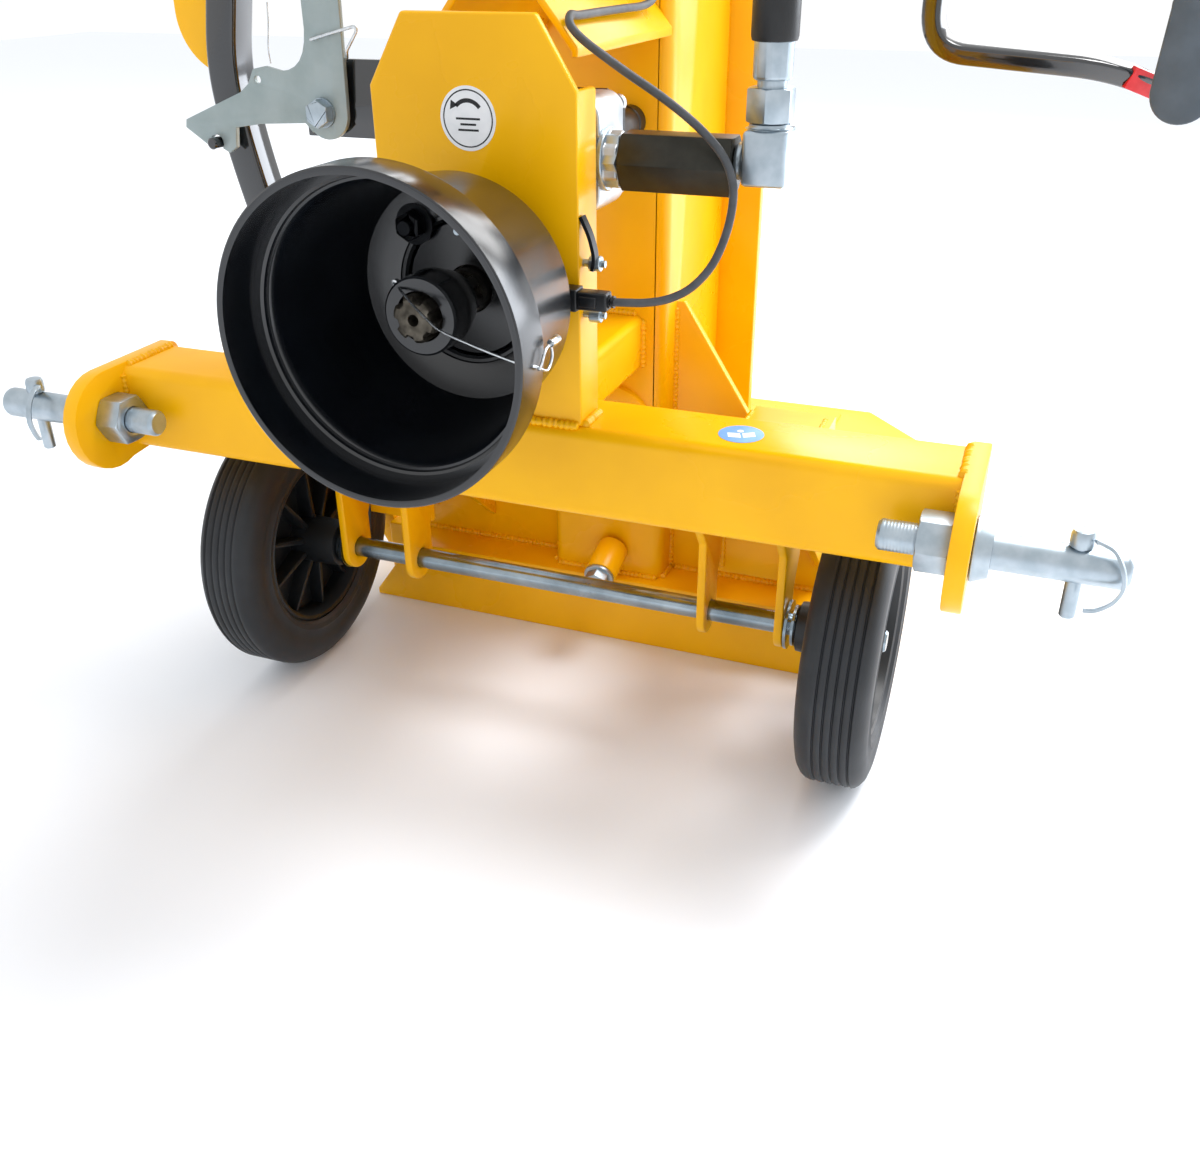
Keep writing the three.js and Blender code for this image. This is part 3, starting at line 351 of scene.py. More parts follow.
fitted(joined("welds", beads), "frame_welds", "frame", "yellow_paint", yellow_coat)


# ---------------------------------------------------------------------------
# Lower link pins, their nuts, linch pegs and spring rings. Turned from bar and
# zinc plated: a bright, slightly blue metal with a soft satin gleam.
# ---------------------------------------------------------------------------
zinc_plate = patterned("zinc_plate", "#A3B0B9", "#B6C1C9", 14, (0.3, 0.4), 0.03, 1.6, Metallic=0.92)


def turned(profile, axis="Z", centre=(0, 0, 0), sides=48):
    """A piece turned about an axis through centre; the profile holds radius and distance in millimetres.
    It starts as a circle that is drawn out and resized step by step."""
    closed = profile[0] == profile[-1]
    radii = [max(r, 0.004) * MM for r, _ in profile]
    clear_selection()
    bpy.ops.mesh.primitive_circle_add(vertices=sides, radius=radii[0], location=(0, 0, 0))
    piece = bpy.context.object
    bpy.ops.object.mode_set(mode="EDIT")
    bpy.ops.mesh.select_all(action="SELECT")
    bpy.ops.transform.translate(value=(0, 0, profile[0][1] * MM))
    for k in range(1, len(profile)):
        step = (profile[k][1] - profile[k - 1][1]) * MM
        bpy.ops.mesh.extrude_region_move(TRANSFORM_OT_translate={"value": (0, 0, step)})
        ratio = radii[k] / radii[k - 1]
        if abs(ratio - 1) > 1e-9:
            bpy.ops.transform.resize(value=(ratio, ratio, 1), center_override=(0, 0, profile[k][1] * MM))
    bpy.ops.mesh.select_all(action="SELECT")
    bpy.ops.mesh.remove_doubles(threshold=0.00001)
    bpy.ops.mesh.normals_make_consistent(inside=False)
    bpy.ops.object.mode_set(mode="OBJECT")
    turn = {
        "X": Matrix.Rotation(math.pi / 2, 4, "Y"),
        "Y": Matrix.Rotation(-math.pi / 2, 4, "X"),
        "Z": Matrix.Identity(4),
    }[axis]
    piece.data.transform(Matrix.Translation(Vector(centre) * MM) @ turn)
    smooth(piece, 30)
    return piece


def threaded(radius, start, end, pitch=2.5, depth=0.9):
    """Profile of a threaded length, as rounded ridges."""
    profile = []
    count = int(abs(end - start) / pitch)
    step = (end - start) / count
    for k in range(count):
        at = start + k * step
        profile += [(radius, at + 0.1 * step), (radius, at + 0.35 * step), (radius - depth, at + 0.75 * step)]
    return profile


def hexagon(across, start, end, axis, centre, bore=0.0, edge=0.7):
    """A hexagonal nut or bar, its corners turned off at both ends, with an optional bore."""
    radius = across / math.sqrt(3)
    trim = across * 0.5 * 1.04
    slope = (radius - trim) * 0.6
    profile = [(0, start), (trim * 0.98, start), (radius * 1.02, start + slope)]
    profile += [(radius * 1.02, end - slope), (trim * 0.98, end), (0, end)]
    if bore:
        profile = [(bore, start)] + profile[1:-1] + [(bore, end), (bore, start)]
    body = turned([(0, start - 1), (radius, start - 1), (radius, end + 1), (0, end + 1)], axis, centre, 6)
    cone = turned(profile, axis, centre, 48)
    choose(body)
    trimmed = body.modifiers.new("corners", "BOOLEAN")
    trimmed.operation = "INTERSECT"
    trimmed.object = cone
    trimmed.solver = "EXACT"
    bpy.ops.object.modifier_apply(modifier="corners")
    bpy.data.objects.remove(cone)
    choose(body)
    bpy.ops.object.mode_set(mode="EDIT")
    bpy.ops.mesh.select_all(action="SELECT")
    bpy.ops.mesh.remove_doubles(threshold=0.00003)
    bpy.ops.mesh.dissolve_limited(angle_limit=math.radians(1))
    bpy.ops.object.mode_set(mode="OBJECT")
    bevelled(body, edge * 0.5, 2, 35)
    smooth(body, 24)
    return body


def mirrored(piece):
    """The other side's copy of a piece, mirrored across the middle of the machine."""
    twin = piece.copy()
    twin.data = piece.data.copy()
    bpy.context.scene.collection.objects.link(twin)
    twin.data.transform(Matrix.Scale(-1, 4, (1, 0, 0)))
    twin.data.flip_normals()
    return twin


def curved(points, steps):
    """Evenly smooth route through some points, in millimetres."""
    points = [Vector(p) for p in points]
    ends = [points[0] * 2 - points[1]] + points + [points[-1] * 2 - points[-2]]
    route = []
    for a, b, c, d in zip(ends, ends[1:], ends[2:], ends[3:]):
        for k in range(steps):
            t = k / steps
            route.append(
                0.5
                * (2 * b + (c - a) * t + (2 * a - 5 * b + 4 * c - d) * t * t + (3 * b - a - 3 * c + d) * t**3)
            )
    route.append(points[-1])
    return route


# The domed cover of the tank's cleaning hole, low on the column, has the same plating.
cover = [(0, -97), (12, -96.4), (20, -94), (24, -90.6), (25.4, -88), (25.4, -86), (0, -86)]
fitted(turned(cover, "Y", (8, 0, 262), 48), "tank_cover", "frame", "zinc", zinc_plate)

PIN_Y, PIN_Z = -380, 326
pin_profile = [(0, 330), (9.8, 330), (11.8, 332.2), (12, 333)] + threaded(12, 334, 359, 2.5, 0.25)
pin_profile += [(11.4, 384), (11.4, 399.4), (24.4, 399.6), (25, 400.2)]
pin_profile += [(25, 402), (24.4, 403.2), (20.6, 412.6), (14.2, 413)]
pin_profile += [(14, 414.5), (14, 502), (13.4, 503.6), (9.8, 506.8), (9.2, 507), (0, 507)]
for name, s in (("left", -1), ("right", 1)):
    pin = turned(pin_profile, "X", (0, PIN_Y, PIN_Z), 56)
    nut = hexagon(41, 359.5, 383.7, "X", (0, PIN_Y, PIN_Z), 12.2, 0.8)
    peg_profile = [(0, 283), (4.8, 283), (5.8, 284.2), (5.8, 340), (8, 340.6)]
    peg_profile += [(8.4, 343), (8.4, 350), (7, 353), (4, 354), (0, 354)]
    shank = turned(peg_profile, "Z", (471, PIN_Y, 0), 32)
    ear_profile = [(0, -387), (3.6, -387), (4.4, -386), (4.4, -374), (3.6, -373), (0, -373)]
    ear = turned(ear_profile, "Y", (471, 0, 348), 24)
    if s > 0:
        bulges = [(13, -5, 19), (20, -12, 9), (22.5, -13, -4), (18, -13, -16), (9, -12.5, -24)]
    else:
        bulges = [(-3.5, -8, 20), (-4, -17, 10), (-4, -21, -4), (-4, -19, -16), (-3, -15, -24)]
    x, ends = (479.6, 1) if s > 0 else (462.4, -1)
    loop = [(0, 0, 22), (2 * ends, 0, 22)] + bulges + [(2 * ends, -12.5, -26), (0, -12.5, -26)]
    loop = [(x + a, PIN_Y - 6.8 + b, PIN_Z + c) for a, b, c in loop]
    strip = [(1.1, -2.2), (1.4, -1.4), (1.4, 1.4), (1.1, 2.2)]
    strip += [(-x, -y) for x, y in strip]
    wire = swept(strip, curved(loop, 6))
    smooth(wire, 60)
    pieces = [pin, nut, joined("peg", [shank, ear]), wire]
    if s < 0:
        flipped = [mirrored(piece) for piece in pieces]
        for piece in pieces:
            bpy.data.objects.remove(piece)
        pieces = flipped
    fitted(pieces[0], name + "_hitch_pin", "frame", "zinc", zinc_plate, name + "_link_pin")
    fitted(pieces[1], name + "_hitch_nut", "frame", "zinc", zinc_plate, name + "_pin_nut")
    fitted(pieces[2], name + "_peg", name + "_peg", "zinc", zinc_plate, name + "_linch_peg")
    fitted(pieces[3], name + "_spring_ring", name + "_ring", "zinc", zinc_plate, name + "_linch_ring")


# ---------------------------------------------------------------------------
# Axle, washers and the two wheels. The axle is drawn bar; the wheels are solid
# rubber tyres with ribbed treads on moulded black centres with ten spokes.
# ---------------------------------------------------------------------------
AXLE_Y, AXLE_Z = -225.5, 141
drawn_bar = patterned("zinc_drawn_bar", "#76838C", "#A2AEB6", 40, (0.16, 0.28), 0.08, 2.0, Metallic=1.0)
axle_profile = [(0, -334), (9, -334), (10.5, -332), (10.5, 332), (9, 334), (0, 334)]
axle_bar = turned(axle_profile, "X", (0, AXLE_Y, AXLE_Z), 40)
washers = []
for s in (-1, 1):
    for start, width, radius in ((240.2, 2.6, 24), (246.2, 2.4, 20)):
        inner, outer = s * start, s * (start + width)
        rim = [(10.6, inner), (radius, inner), (radius, outer), (10.6, outer)]
        washers.append(turned(rim + [rim[0]], "X", (0, AXLE_Y, AXLE_Z), 40))
fitted(joined("axle", [axle_bar] + washers), "wheel_axle", "frame", "zinc", drawn_bar, "axle")

tyre_rubber = patterned("tyre_rubber", "#15181C", "#1B1F24", 30, (0.42, 0.6), 0.25, 1.6)
wheel_plastic = patterned("moulded_wheel_plastic", "#0B0E11", "#12161A", 25, (0.32, 0.5), 0.15, 1.4)


def tyre_profile():
    """Section of the solid tyre: sidewalls with a bead step, round shoulders and five worn ribs."""
    profile = [(91.5, 279), (95, 275.4), (100, 274.6), (104, 276.4), (112, 275.6), (116, 274.4), (124, 274.8)]
    profile += [(131, 277), (136, 280.6), (139, 285)]
    left, right, ribs = 287, 326, 5
    pitch = (right - left) / ribs
    for k in range(ribs):
        at = left + k * pitch
        profile += [(139.6, at + 0.7), (140, at + 2.2), (140, at + pitch - 3), (139.4, at + pitch - 1.8)]
        profile += [(138.2, at + pitch - 1.1), (138.2, at + pitch - 0.6)]
    profile += [(140, 327), (139, 329.5), (136, 333), (131, 336.4), (124, 338.4), (116, 338.9), (112, 337.6)]
    profile += [(104, 336.8), (100, 338.6), (95, 337.8), (91.5, 334), (91.5, 279)]
    return profile


def wheel_centre():
    """Moulded centre: rim with a lip, a waisted hub, a thin web and ten ribs to each face."""
    rim = [(91, 280), (91, 333), (88.5, 334.6), (85.5, 333), (81, 316)]
    rim += [(81, 297), (85.5, 280), (88.5, 278.4), (91, 280)]
    parts = [turned(rim, "X", (0, AXLE_Y, AXLE_Z), 72)]
    hub = [(11.2, 250), (20, 250), (24, 252), (25, 262), (26, 300)]
    hub += [(25, 324), (23, 329.4), (19, 330), (11.2, 330)]
    parts.append(turned(hub + [hub[0]], "X", (0, AXLE_Y, AXLE_Z), 40))
    web = [(25, 303), (82, 303), (82, 309), (25, 309), (25, 303)]
    parts.append(turned(web, "X", (0, AXLE_Y, AXLE_Z), 60))
    for k in range(10):
        clear_selection()
        bpy.ops.mesh.primitive_cube_add(size=1, location=(0, 0, 0))
        rib = bpy.context.object
        rib.scale = (42 * MM, 6 * MM, 60 * MM)
        bpy.ops.object.transform_apply(location=False, rotation=False, scale=True)
        bpy.ops.object.mode_set(mode="EDIT")
        bpy.ops.mesh.select_all(action="SELECT")
        bpy.ops.mesh.bevel(offset=1.6 * MM, segments=2, affect="EDGES")
        bpy.ops.object.mode_set(mode="OBJECT")
        rib.data.transform(Matrix.Translation((0, 0, 53 * MM)))
        for corner in rib.data.vertices:
            if corner.co.z > 0.06:
                corner.co.y *= 0.6
                corner.co.x *= 0.8
        turn = Matrix.Rotation(math.tau * k / 10, 4, "X")
        rib.data.transform(Matrix.Translation((306 * MM, AXLE_Y * MM, AXLE_Z * MM)) @ turn)
        smooth(rib)
        parts.append(rib)
    return joined("centre", parts)


for name, s in (("left", -1), ("right", 1)):
    tyre = turned(tyre_profile(), "X", (0, AXLE_Y, AXLE_Z), 96)
    centre = wheel_centre()
    if s < 0:
        pieces = [mirrored(tyre), mirrored(centre)]
        bpy.data.objects.remove(tyre)
        bpy.data.objects.remove(centre)
        tyre, centre = pieces
    fitted(tyre, name + "_ribbed_tyre", name + "_wheel", "tyre_rubber", tyre_rubber, name + "_tyre")
    wheel = name + "_wheel"
    fitted(centre, wheel + "_centre", wheel, "black_plastic", wheel_plastic, wheel + "_rim")


# ---------------------------------------------------------------------------
# Pump plate with its strut, and the folded hood over the pump. Laser-cut plate
# with rounded folds, in the same yellow coat, with two round vinyl labels.
# ---------------------------------------------------------------------------
fitted(softened("pump_plate", 2.2, 3), "pump_plate_steel", "frame", "yellow_paint", yellow_coat, "pump_plate")
hood = softened("pump_hood", 0.9, 2, 20)
fitted(hood, "pump_hood_steel", "frame", "yellow_paint", yellow_coat, "pump_hood")

white_vinyl = patterned("white_vinyl_label", "#EDEFF2", "#F7F8FA", 12, (0.28, 0.4))
black_ink = patterned("black_print", "#101216", "#16181C", 12, (0.4, 0.5))
blue_vinyl = patterned("blue_vinyl_label", "#3F8FE0", "#4C9AE8", 12, (0.28, 0.4))


def flat_shape(points, thickness, place, turn):
    """A thin plate from an outline in millimetres, laid on a surface."""
    count = len(points)
    corners = [(x, y, 0) for x, y in points] + [(x, y, thickness) for x, y in points]
    faces = [tuple(range(count)), tuple(range(count, 2 * count))]
    faces += [(k, (k + 1) % count, count + (k + 1) % count, count + k) for k in range(count)]
    piece = mesh_piece("plate", [Vector(c) * MM for c in corners], faces)
    piece.data.transform(Matrix.Translation(Vector(place) * MM) @ turn)
    return piece


def disc(radius, thickness, place, turn, hole=0.0, sides=64):
    """A round label, or a printed ring when it has a hole."""
    if not hole:
        return flat_shape(ring_section(radius, sides), thickness, place, turn)
    profile = [(hole, 0), (radius, 0), (radius, thickness), (hole, thickness), (hole, 0)]
    ring = turned(profile, "Z", (0, 0, 0), sides)
    ring.data.transform(Matrix.Translation(Vector(place) * MM) @ turn)
    return ring


def arc_band(inner, outer, start, end, steps=20):
    """Outline of a curved band, the angles in degrees."""
    angles = [math.radians(start + (end - start) * k / steps) for k in range(steps + 1)]
    edge = [(outer * math.cos(a), outer * math.sin(a)) for a in angles]
    return edge + [(inner * math.cos(a), inner * math.sin(a)) for a in reversed(angles)]


facing_front = Matrix.Rotation(math.pi / 2, 4, "X")
label_place = Vector((-7.5, -350.05, 600))
fitted(
    disc(23, 0.25, label_place, facing_front), "round_label", "frame", "yellow_paint", white_vinyl
)
print_parts = [disc(20.6, 0.32, label_place, facing_front, 19.6)]
arrow_head = [(-14.6, 6.0), (-13.4, 12.8), (-7.8, 9.2)]
for outline in (arc_band(11.2, 14.2, 38, 138), arrow_head):
    print_parts.append(flat_shape(outline, 0.32, label_place, facing_front))
for width, height in ((20, 0.6), (13, -3.4), (17, -7.4)):
    bar = [(-width / 2, height), (width / 2, height), (width / 2, height - 1.5), (-width / 2, height - 1.5)]
    print_parts.append(flat_shape(bar, 0.32, label_place, facing_front))
fitted(joined("print", print_parts), "round_label_print", "frame", "yellow_paint", black_ink)

facing_up = Matrix.Rotation(math.radians(20), 4, "Z")
sticker_place = Vector((207, -320, 366.05))
fitted(disc(18.5, 0.25, sticker_place, facing_up), "blue_label", "frame", "yellow_paint", blue_vinyl)
head = ring_section(2.6, 20)
page_left = [(-11, -6), (-1, -8), (-1, 1), (-11, 3)]
page_right = [(1, -8), (11, -6), (11, 3), (1, 1)]
pictogram = [flat_shape([(x, y + 6) for x, y in head], 0.32, sticker_place, facing_up)]
for outline in (page_left, page_right):
    pictogram.append(flat_shape(outline, 0.32, sticker_place, facing_up))
fitted(joined("pictogram", pictogram), "blue_label_print", "frame", "yellow_paint", white_vinyl)


# ---------------------------------------------------------------------------
# Guard round the drive shaft: a deep black cup with a wide collar, moulded from
# tough plastic, held to the pump plate by a big nut and a screw.
# ---------------------------------------------------------------------------
SHAFT_Z = 480
guard_plastic = patterned(
    "moulded_black_guard", "#0A0D12", "#0F1318", 60, (0.17, 0.26), 0.04, 2.2, **{"Specular IOR Level": 0.8}
)
guard_profile = [(110.4, -536.6), (111.4, -537), (114.6, -537), (115.8, -536), (116, -534), (116, -503.6)]
guard_profile += [(115.4, -501.4), (113.4, -500), (106, -499.4), (104, -498), (103, -495), (90.4, -394)]
guard_profile += [(89, -390), (86, -387.4), (62, -384.6), (58, -383), (57, -380), (57, -350.4), (33, -350.4)]
guard_profile += [(33, -354), (52, -354), (53, -356), (53, -379), (55, -381), (82, -383.4), (85, -386)]
guard_profile += [(86.4, -390), (98.6, -489), (99.4, -493), (101.4, -495.4), (108.4, -496.2), (110.6, -497.6)]
guard_profile += [(111.6, -500.6), (112, -533.6), (111.6, -535.4), (110.4, -536.6)]
guard = turned(guard_profile, "Y", (0, 0, SHAFT_Z), 128)
fitted(guard, "shaft_guard", "frame", "black_plastic", guard_plastic, "pto_guard")

dark_bolt = patterned("blacked_steel", "#0E1013", "#181B1F", 10, (0.26, 0.4), 0.1, 1.0, Metallic=0.7)
NUT_PLACE = (-40, 0, 528)
washer_profile = [(8, -386.6), (15.4, -386.6), (15.4, -384.4), (8, -384.4), (8, -386.6)]
stud_profile = [(0, -403), (5.2, -403), (6, -402)] + threaded(6, -402, -386, 1.8, 0.5) + [(0, -386)]
guard_nut = joined(
    "guard_nut",
    [
        turned(washer_profile, "Y", NUT_PLACE, 40),
        hexagon(19, -398, -386.6, "Y", NUT_PLACE, 6.0, 0.6),
        turned(stud_profile, "Y", NUT_PLACE, 24),
    ],
)
fitted(guard_nut, "guard_nut", "frame", "black_plastic", dark_bolt)

screw_profile = [(0, -432), (2.6, -432), (3, -431.4)] + threaded(3, -431, -386, 1.6, 0.45)
screw_profile += [(3, -384), (0, -384)]
guard_screw = joined(
    "guard_screw",
    [
        turned(screw_profile, "Y", (20, 0, 536), 20),
        hexagon(10, -424, -418.6, "Y", (20, 0, 536), 3.0, 0.4),
    ],
)
fitted(guard_screw, "guard_screw", "frame", "zinc", zinc_plate)


# ---------------------------------------------------------------------------
# Input shaft: a forged steel stub with broad splines and a centre hole, running
# in a bearing. It is left bare and lightly greased, so it looks dark and dull.
# ---------------------------------------------------------------------------
greased_steel = patterned("greased_steel", "#3F3B34", "#6A645A", 9, (0.34, 0.55), 0.3, 1.5, Metallic=0.9)


def splined(radius, root, teeth, start, end):
    """The splined end, its teeth drawn out and chamfered towards the tip."""
    outline = []
    for k in range(teeth):
        for turn, reach in ((0.04, root), (0.4, root), (0.48, radius), (0.72, radius + 0.1), (0.96, radius)):
            angle = math.tau * (k + turn) / teeth
            outline.append((reach * math.cos(angle), reach * math.sin(angle)))
    count = len(outline)
    rows = ((start, 0.86), (start + 3, 1.0), (start + 60, 1.0), (end, 0.99))
    corners = [Vector((x * f, y, z * f + SHAFT_Z)) * MM for y, f in rows for x, z in outline]
    hole = [(4.2 * math.cos(math.tau * k / 24), 4.2 * math.sin(math.tau * k / 24)) for k in range(24)]
    faces = []
    for row in range(len(rows) - 1):
        for k in range(count):
            n = (k + 1) % count
            faces.append((row * count + k, row * count + n, (row + 1) * count + n, (row + 1) * count + k))
    faces.append(tuple(range((len(rows) - 1) * count, len(rows) * count)))
    faces.append(tuple(range(count)))
    stub = mesh_piece("stub", corners, faces)
    drill_profile = [(0, start - 5), (4.2, start - 5), (4.2, start + 14), (0, start + 16)]
    drill = turned(drill_profile, "Y", (0, 0, SHAFT_Z), 24)
    choose(stub)
    bore = stub.modifiers.new("centre", "BOOLEAN")
    bore.operation = "DIFFERENCE"
    bore.object = drill
    bore.solver = "EXACT"
    bpy.ops.object.modifier_apply(modifier="centre")
    bpy.data.objects.remove(drill)
    bevelled(stub, 0.5, 2, 30)
    smooth(stub, 34)
    return stub


stub = splined(17.4, 14.4, 6, -469, -390)
journal = turned([(0, -391), (17.5, -391), (17.5, -313.2), (0, -313.2)], "Y", (0, 0, SHAFT_Z), 48)
fitted(joined("shaft", [stub, journal]), "input_shaft", "pto_input", "bare_steel", greased_steel, "pto_shaft")
collar = [(18.6, -459), (27.4, -459), (29, -457.6), (29.4, -440), (28.6, -430), (23, -412)]
collar += [(19, -404), (18.6, -404), (18.6, -459)]
cap_collar = turned(collar, "Y", (0, 0, SHAFT_Z), 56)
fitted(cap_collar, "shaft_cap_collar", "pto_input", "black_plastic", guard_plastic)
# A black disc of the guard's plastic closes the mouth of the guard's neck round the shaft.
neck_disc_profile = [(18.8, -378), (50.6, -378), (52, -376.8), (52, -373), (18.8, -373), (18.8, -378)]
neck_disc = turned(neck_disc_profile, "Y", (0, 0, SHAFT_Z), 64)
fitted(neck_disc, "guard_neck_black_disc", "frame", "black_plastic", guard_plastic)
bearing = [(17.8, -363.6), (21, -364), (24.5, -363.6), (26.4, -362), (27, -359), (27, -336.2), (17.8, -336.2)]
fitted(
    turned(bearing + [bearing[0]], "Y", (0, 0, SHAFT_Z), 56),
    "input_bearing",
    "frame",
    "bare_steel",
    greased_steel,
    "shaft_bearing",
)


# ---------------------------------------------------------------------------
# Tether of the shaft's cap: thin galvanised wire from a twisted start above the
# shaft to the rim of the guard, where it ends in an eye with a crimped sleeve.
# ---------------------------------------------------------------------------
bright_wire = patterned("galvanised_wire", "#C3C8CC", "#DDE1E4", 4, (0.2, 0.34), Metallic=1.0)
tether = [(-31, -440, 497), (-22, -450, 500), (-12, -462, 499), (2, -472, 493)]
tether += [(18, -482, 487), (33, -490, 482), (61, -502, 479), (86, -512, 477)]
tether += [(104, -519, 476), (112, -521, 476), (117, -519, 475), (119, -514, 472)]
tether += [(119.4, -507, 469), (119.4, -501, 471), (119.4, -497, 477), (119.4, -500, 484), (119.4, -508, 483)]
tether += [(119.4, -515, 476), (119, -519, 473)]
wire = swept(ring_section(1.0, 8), curved(tether, 6))
smooth(wire, 70)
sleeve = turned([(0, 0), (2.4, 0), (2.8, 0.8), (2.8, 12.2), (2.4, 13), (0, 13)], "Y", (119.6, -500, 485), 20)
knot = turned([(0.9, 0), (2.4, 0.3), (2.6, 3.6), (2.2, 5), (0.9, 5.2), (0.9, 0)], "Y", (-24, -450, 500), 16)
fitted(joined("tether", [wire, sleeve, knot]), "cap_tether", "frame", "zinc", bright_wire)


# ---------------------------------------------------------------------------
# Gearbox and gear pump behind the plate: die-cast aluminium, satin, with faint
# casting grain, closed by socket screws at its corners.
# ---------------------------------------------------------------------------
cast_aluminium = patterned(
    "die_cast_aluminium", "#A9AEB2", "#C3C7CA", 16, (0.34, 0.5), 0.25, 1.4, Metallic=0.95
)
gearbox = softened("gearbox_housing", 1.4, 2)
fitted(gearbox, "gearbox_casting", "frame", "cast_aluminium", cast_aluminium, "gearbox_housing")
pump_parts = [softened("gear_pump", 1.6, 3)]
for x, z in ((-14, 536), (67, 536), (-14, 600), (67, 600)):
    head = [(0, -223), (3, -223), (3.4, -225), (6.4, -225), (7, -226), (7, -232), (0, -232)]
    pump_parts.append(turned(head, "Y", (x, 0, z), 24))
pump = joined("pump", pump_parts)
fitted(pump, "gear_pump_casting", "frame", "cast_aluminium", cast_aluminium, "gear_pump")
LINE_Y, LINE_Z = -285, 566
port_disc = [(0, 77.8), (23.3, 77.8), (24, 78.6), (24, 81.4), (23.3, 82.2), (0, 82.2)]
port_fitting = [
    turned(port_disc, "X", (0, LINE_Y, LINE_Z), 48),
    hexagon(38.6, 81, 93.6, "X", (0, LINE_Y, LINE_Z), 0, 0.7),
]
fitted(joined("fitting", port_fitting), "pump_port_fitting", "frame", "zinc", zinc_plate)
gasket_low = ((-0.72, 523.6), (0.72, 523.6), (1, 538), (1, 598))
gasket_high = ((0.72, 612.4), (-0.72, 612.4), (-1, 598), (-1, 538))
gasket = [(26.5 + 51.8 * x, z) for x, z in gasket_low + gasket_high]
fitted(flat_shape(gasket, 3, (0, -242, 0), facing_front), "pump_gasket", "frame", "black_plastic", dark_bolt)
for node, body in (("drive_gear", "pto_input"), ("pinion_gear", "pump_drive")):
    fitted(softened(node, 0.5, 1), node + "_steel", body, "bare_steel", greased_steel, node)


# ---------------------------------------------------------------------------
# Pressure line: a long blacked hexagon adapter, a forged zinc elbow, a swivel
# nut and a crimped ferrule, then a rubber hose up to the control valve.
# ---------------------------------------------------------------------------
blacked = patterned("oil_blacked_steel", "#282721", "#302F28", 12, (0.32, 0.44), 0.06, 1.2, Metallic=0.5)
adapter = hexagon(42, 94.4, 182.8, "X", (0, LINE_Y, LINE_Z), 0, 0.8)
fitted(adapter, "long_adapter", "frame", "black_paint", blacked, "pressure_adapter")

fitted(softened("elbow_fitting", 3.2, 4), "forged_elbow", "frame", "zinc", zinc_plate, "elbow_fitting")

hose_end = [
    hexagon(32, 598.4, 622, "Z", (207, LINE_Y, 0), 0, 0.7),
    turned([(0, 621), (10.8, 621), (10.8, 628), (0, 628)], "Z", (207, LINE_Y, 0), 32),
]
crimp = []
for k in range(8):
    for offset, radius in ((-0.3, 14.6), (0.3, 14.6)):
        angle = math.tau * (k + 0.5 + offset) / 8
        crimp.append((radius * math.cos(angle), radius * math.sin(angle)))
ferrule_line = [(207, LINE_Y, z) for z in (627, 629, 666, 669.8)]
ferrule = swept(crimp, ferrule_line, lambda i: (0.92, 1.0, 1.0, 0.93)[i])
bevelled(ferrule, 0.7, 2, 18)
smooth(ferrule, 24)
hose_end.append(ferrule)
fitted(joined("hose_end", hose_end), "crimped_hose_end", "frame", "hose_rubber", zinc_plate)

hose_cover = patterned("hose_cover_rubber", "#0D0E10", "#16181A", 14, (0.36, 0.52), 0.25, 1.6)
pressure_route = [(207, -285, 640), (207, -285, 720), (209, -285, 800), (207, -281, 880), (196, -265, 950)]
pressure_route += [(176, -225, 1005), (148, -165, 1042), (112, -118, 1055), (102, -115, 1055)]
pressure_route += [(84.5, -115, 1055)]
hose = swept(ring_section(13, 24), curved(pressure_route, 10))
smooth(hose, 60)
sleeve = [(13.2, 652), (16.4, 653), (17.2, 656), (17.2, 690), (15.6, 697), (13.2, 699), (13.2, 652)]
hose = joined("hose", [hose, turned(sleeve, "Z", (207, LINE_Y, 0), 32)])
fitted(hose, "pressure_hose_rubber", "frame", "hose_rubber", hose_cover, "pressure_hose")

suction = [(0, -227.4), (15, -227.4), (15, -214), (14.2, -213)]
suction += [(14.2, -95), (15, -94), (15, -80.6), (0, -80.6)]
suction_hose = turned(suction, "Y", (26, 0, LINE_Z), 32)
fitted(suction_hose, "suction_hose_rubber", "frame", "hose_rubber", hose_cover, "suction_pipe")


# ---------------------------------------------------------------------------
# Sensor cable: grey sheathed flex from a black plug beside the guard, in a loop
# to the hood and along it to the socket on the column, tied down twice.
# ---------------------------------------------------------------------------
sheath = patterned("grey_cable_sheath", "#3E4145", "#4A4D51", 10, (0.42, 0.55), 0.08, 1.0)
cable_route = [(110, -359, 475), (122, -357, 475), (136, -352, 475), (152, -346, 478), (167, -338, 486)]
cable_route += [(180, -330, 502), (188, -324, 524), (191, -320, 546), (189, -318, 562), (181, -317, 578)]
cable_route += [(166, -316, 593), (148, -314, 606), (128, -312, 618), (108, -311, 629), (88, -311, 641)]
cable_route += [(70, -312, 653), (60, -310, 662), (56, -300, 668), (56, -284, 667), (56, -240, 667)]
cable_route += [(57, -190, 667), (58, -140, 667), (59, -116, 672), (60, -104, 686)]
cable_route += [(60, -98, 700), (58, -97, 730)]
cable = swept(ring_section(3.2, 14), curved(cable_route, 5))
smooth(cable, 60)
fitted(cable, "sensor_cable_sheath", "frame", "cable_sheath", sheath, "sensor_cable")


def block(low, high, edge, segments=3):
    """A moulded block with rounded edges, from its lowest to its highest corner in millimetres."""
    clear_selection()
    bpy.ops.mesh.primitive_cube_add(size=1, location=(0, 0, 0))
    piece = bpy.context.object
    piece.scale = [(b - a) * MM for a, b in zip(low, high)]
    bpy.ops.object.transform_apply(location=False, rotation=False, scale=True)
    piece.data.transform(Matrix.Translation([(a + b) / 2 * MM for a, b in zip(low, high)]))
    bevelled(piece, edge, segments)
    smooth(piece)
    return piece


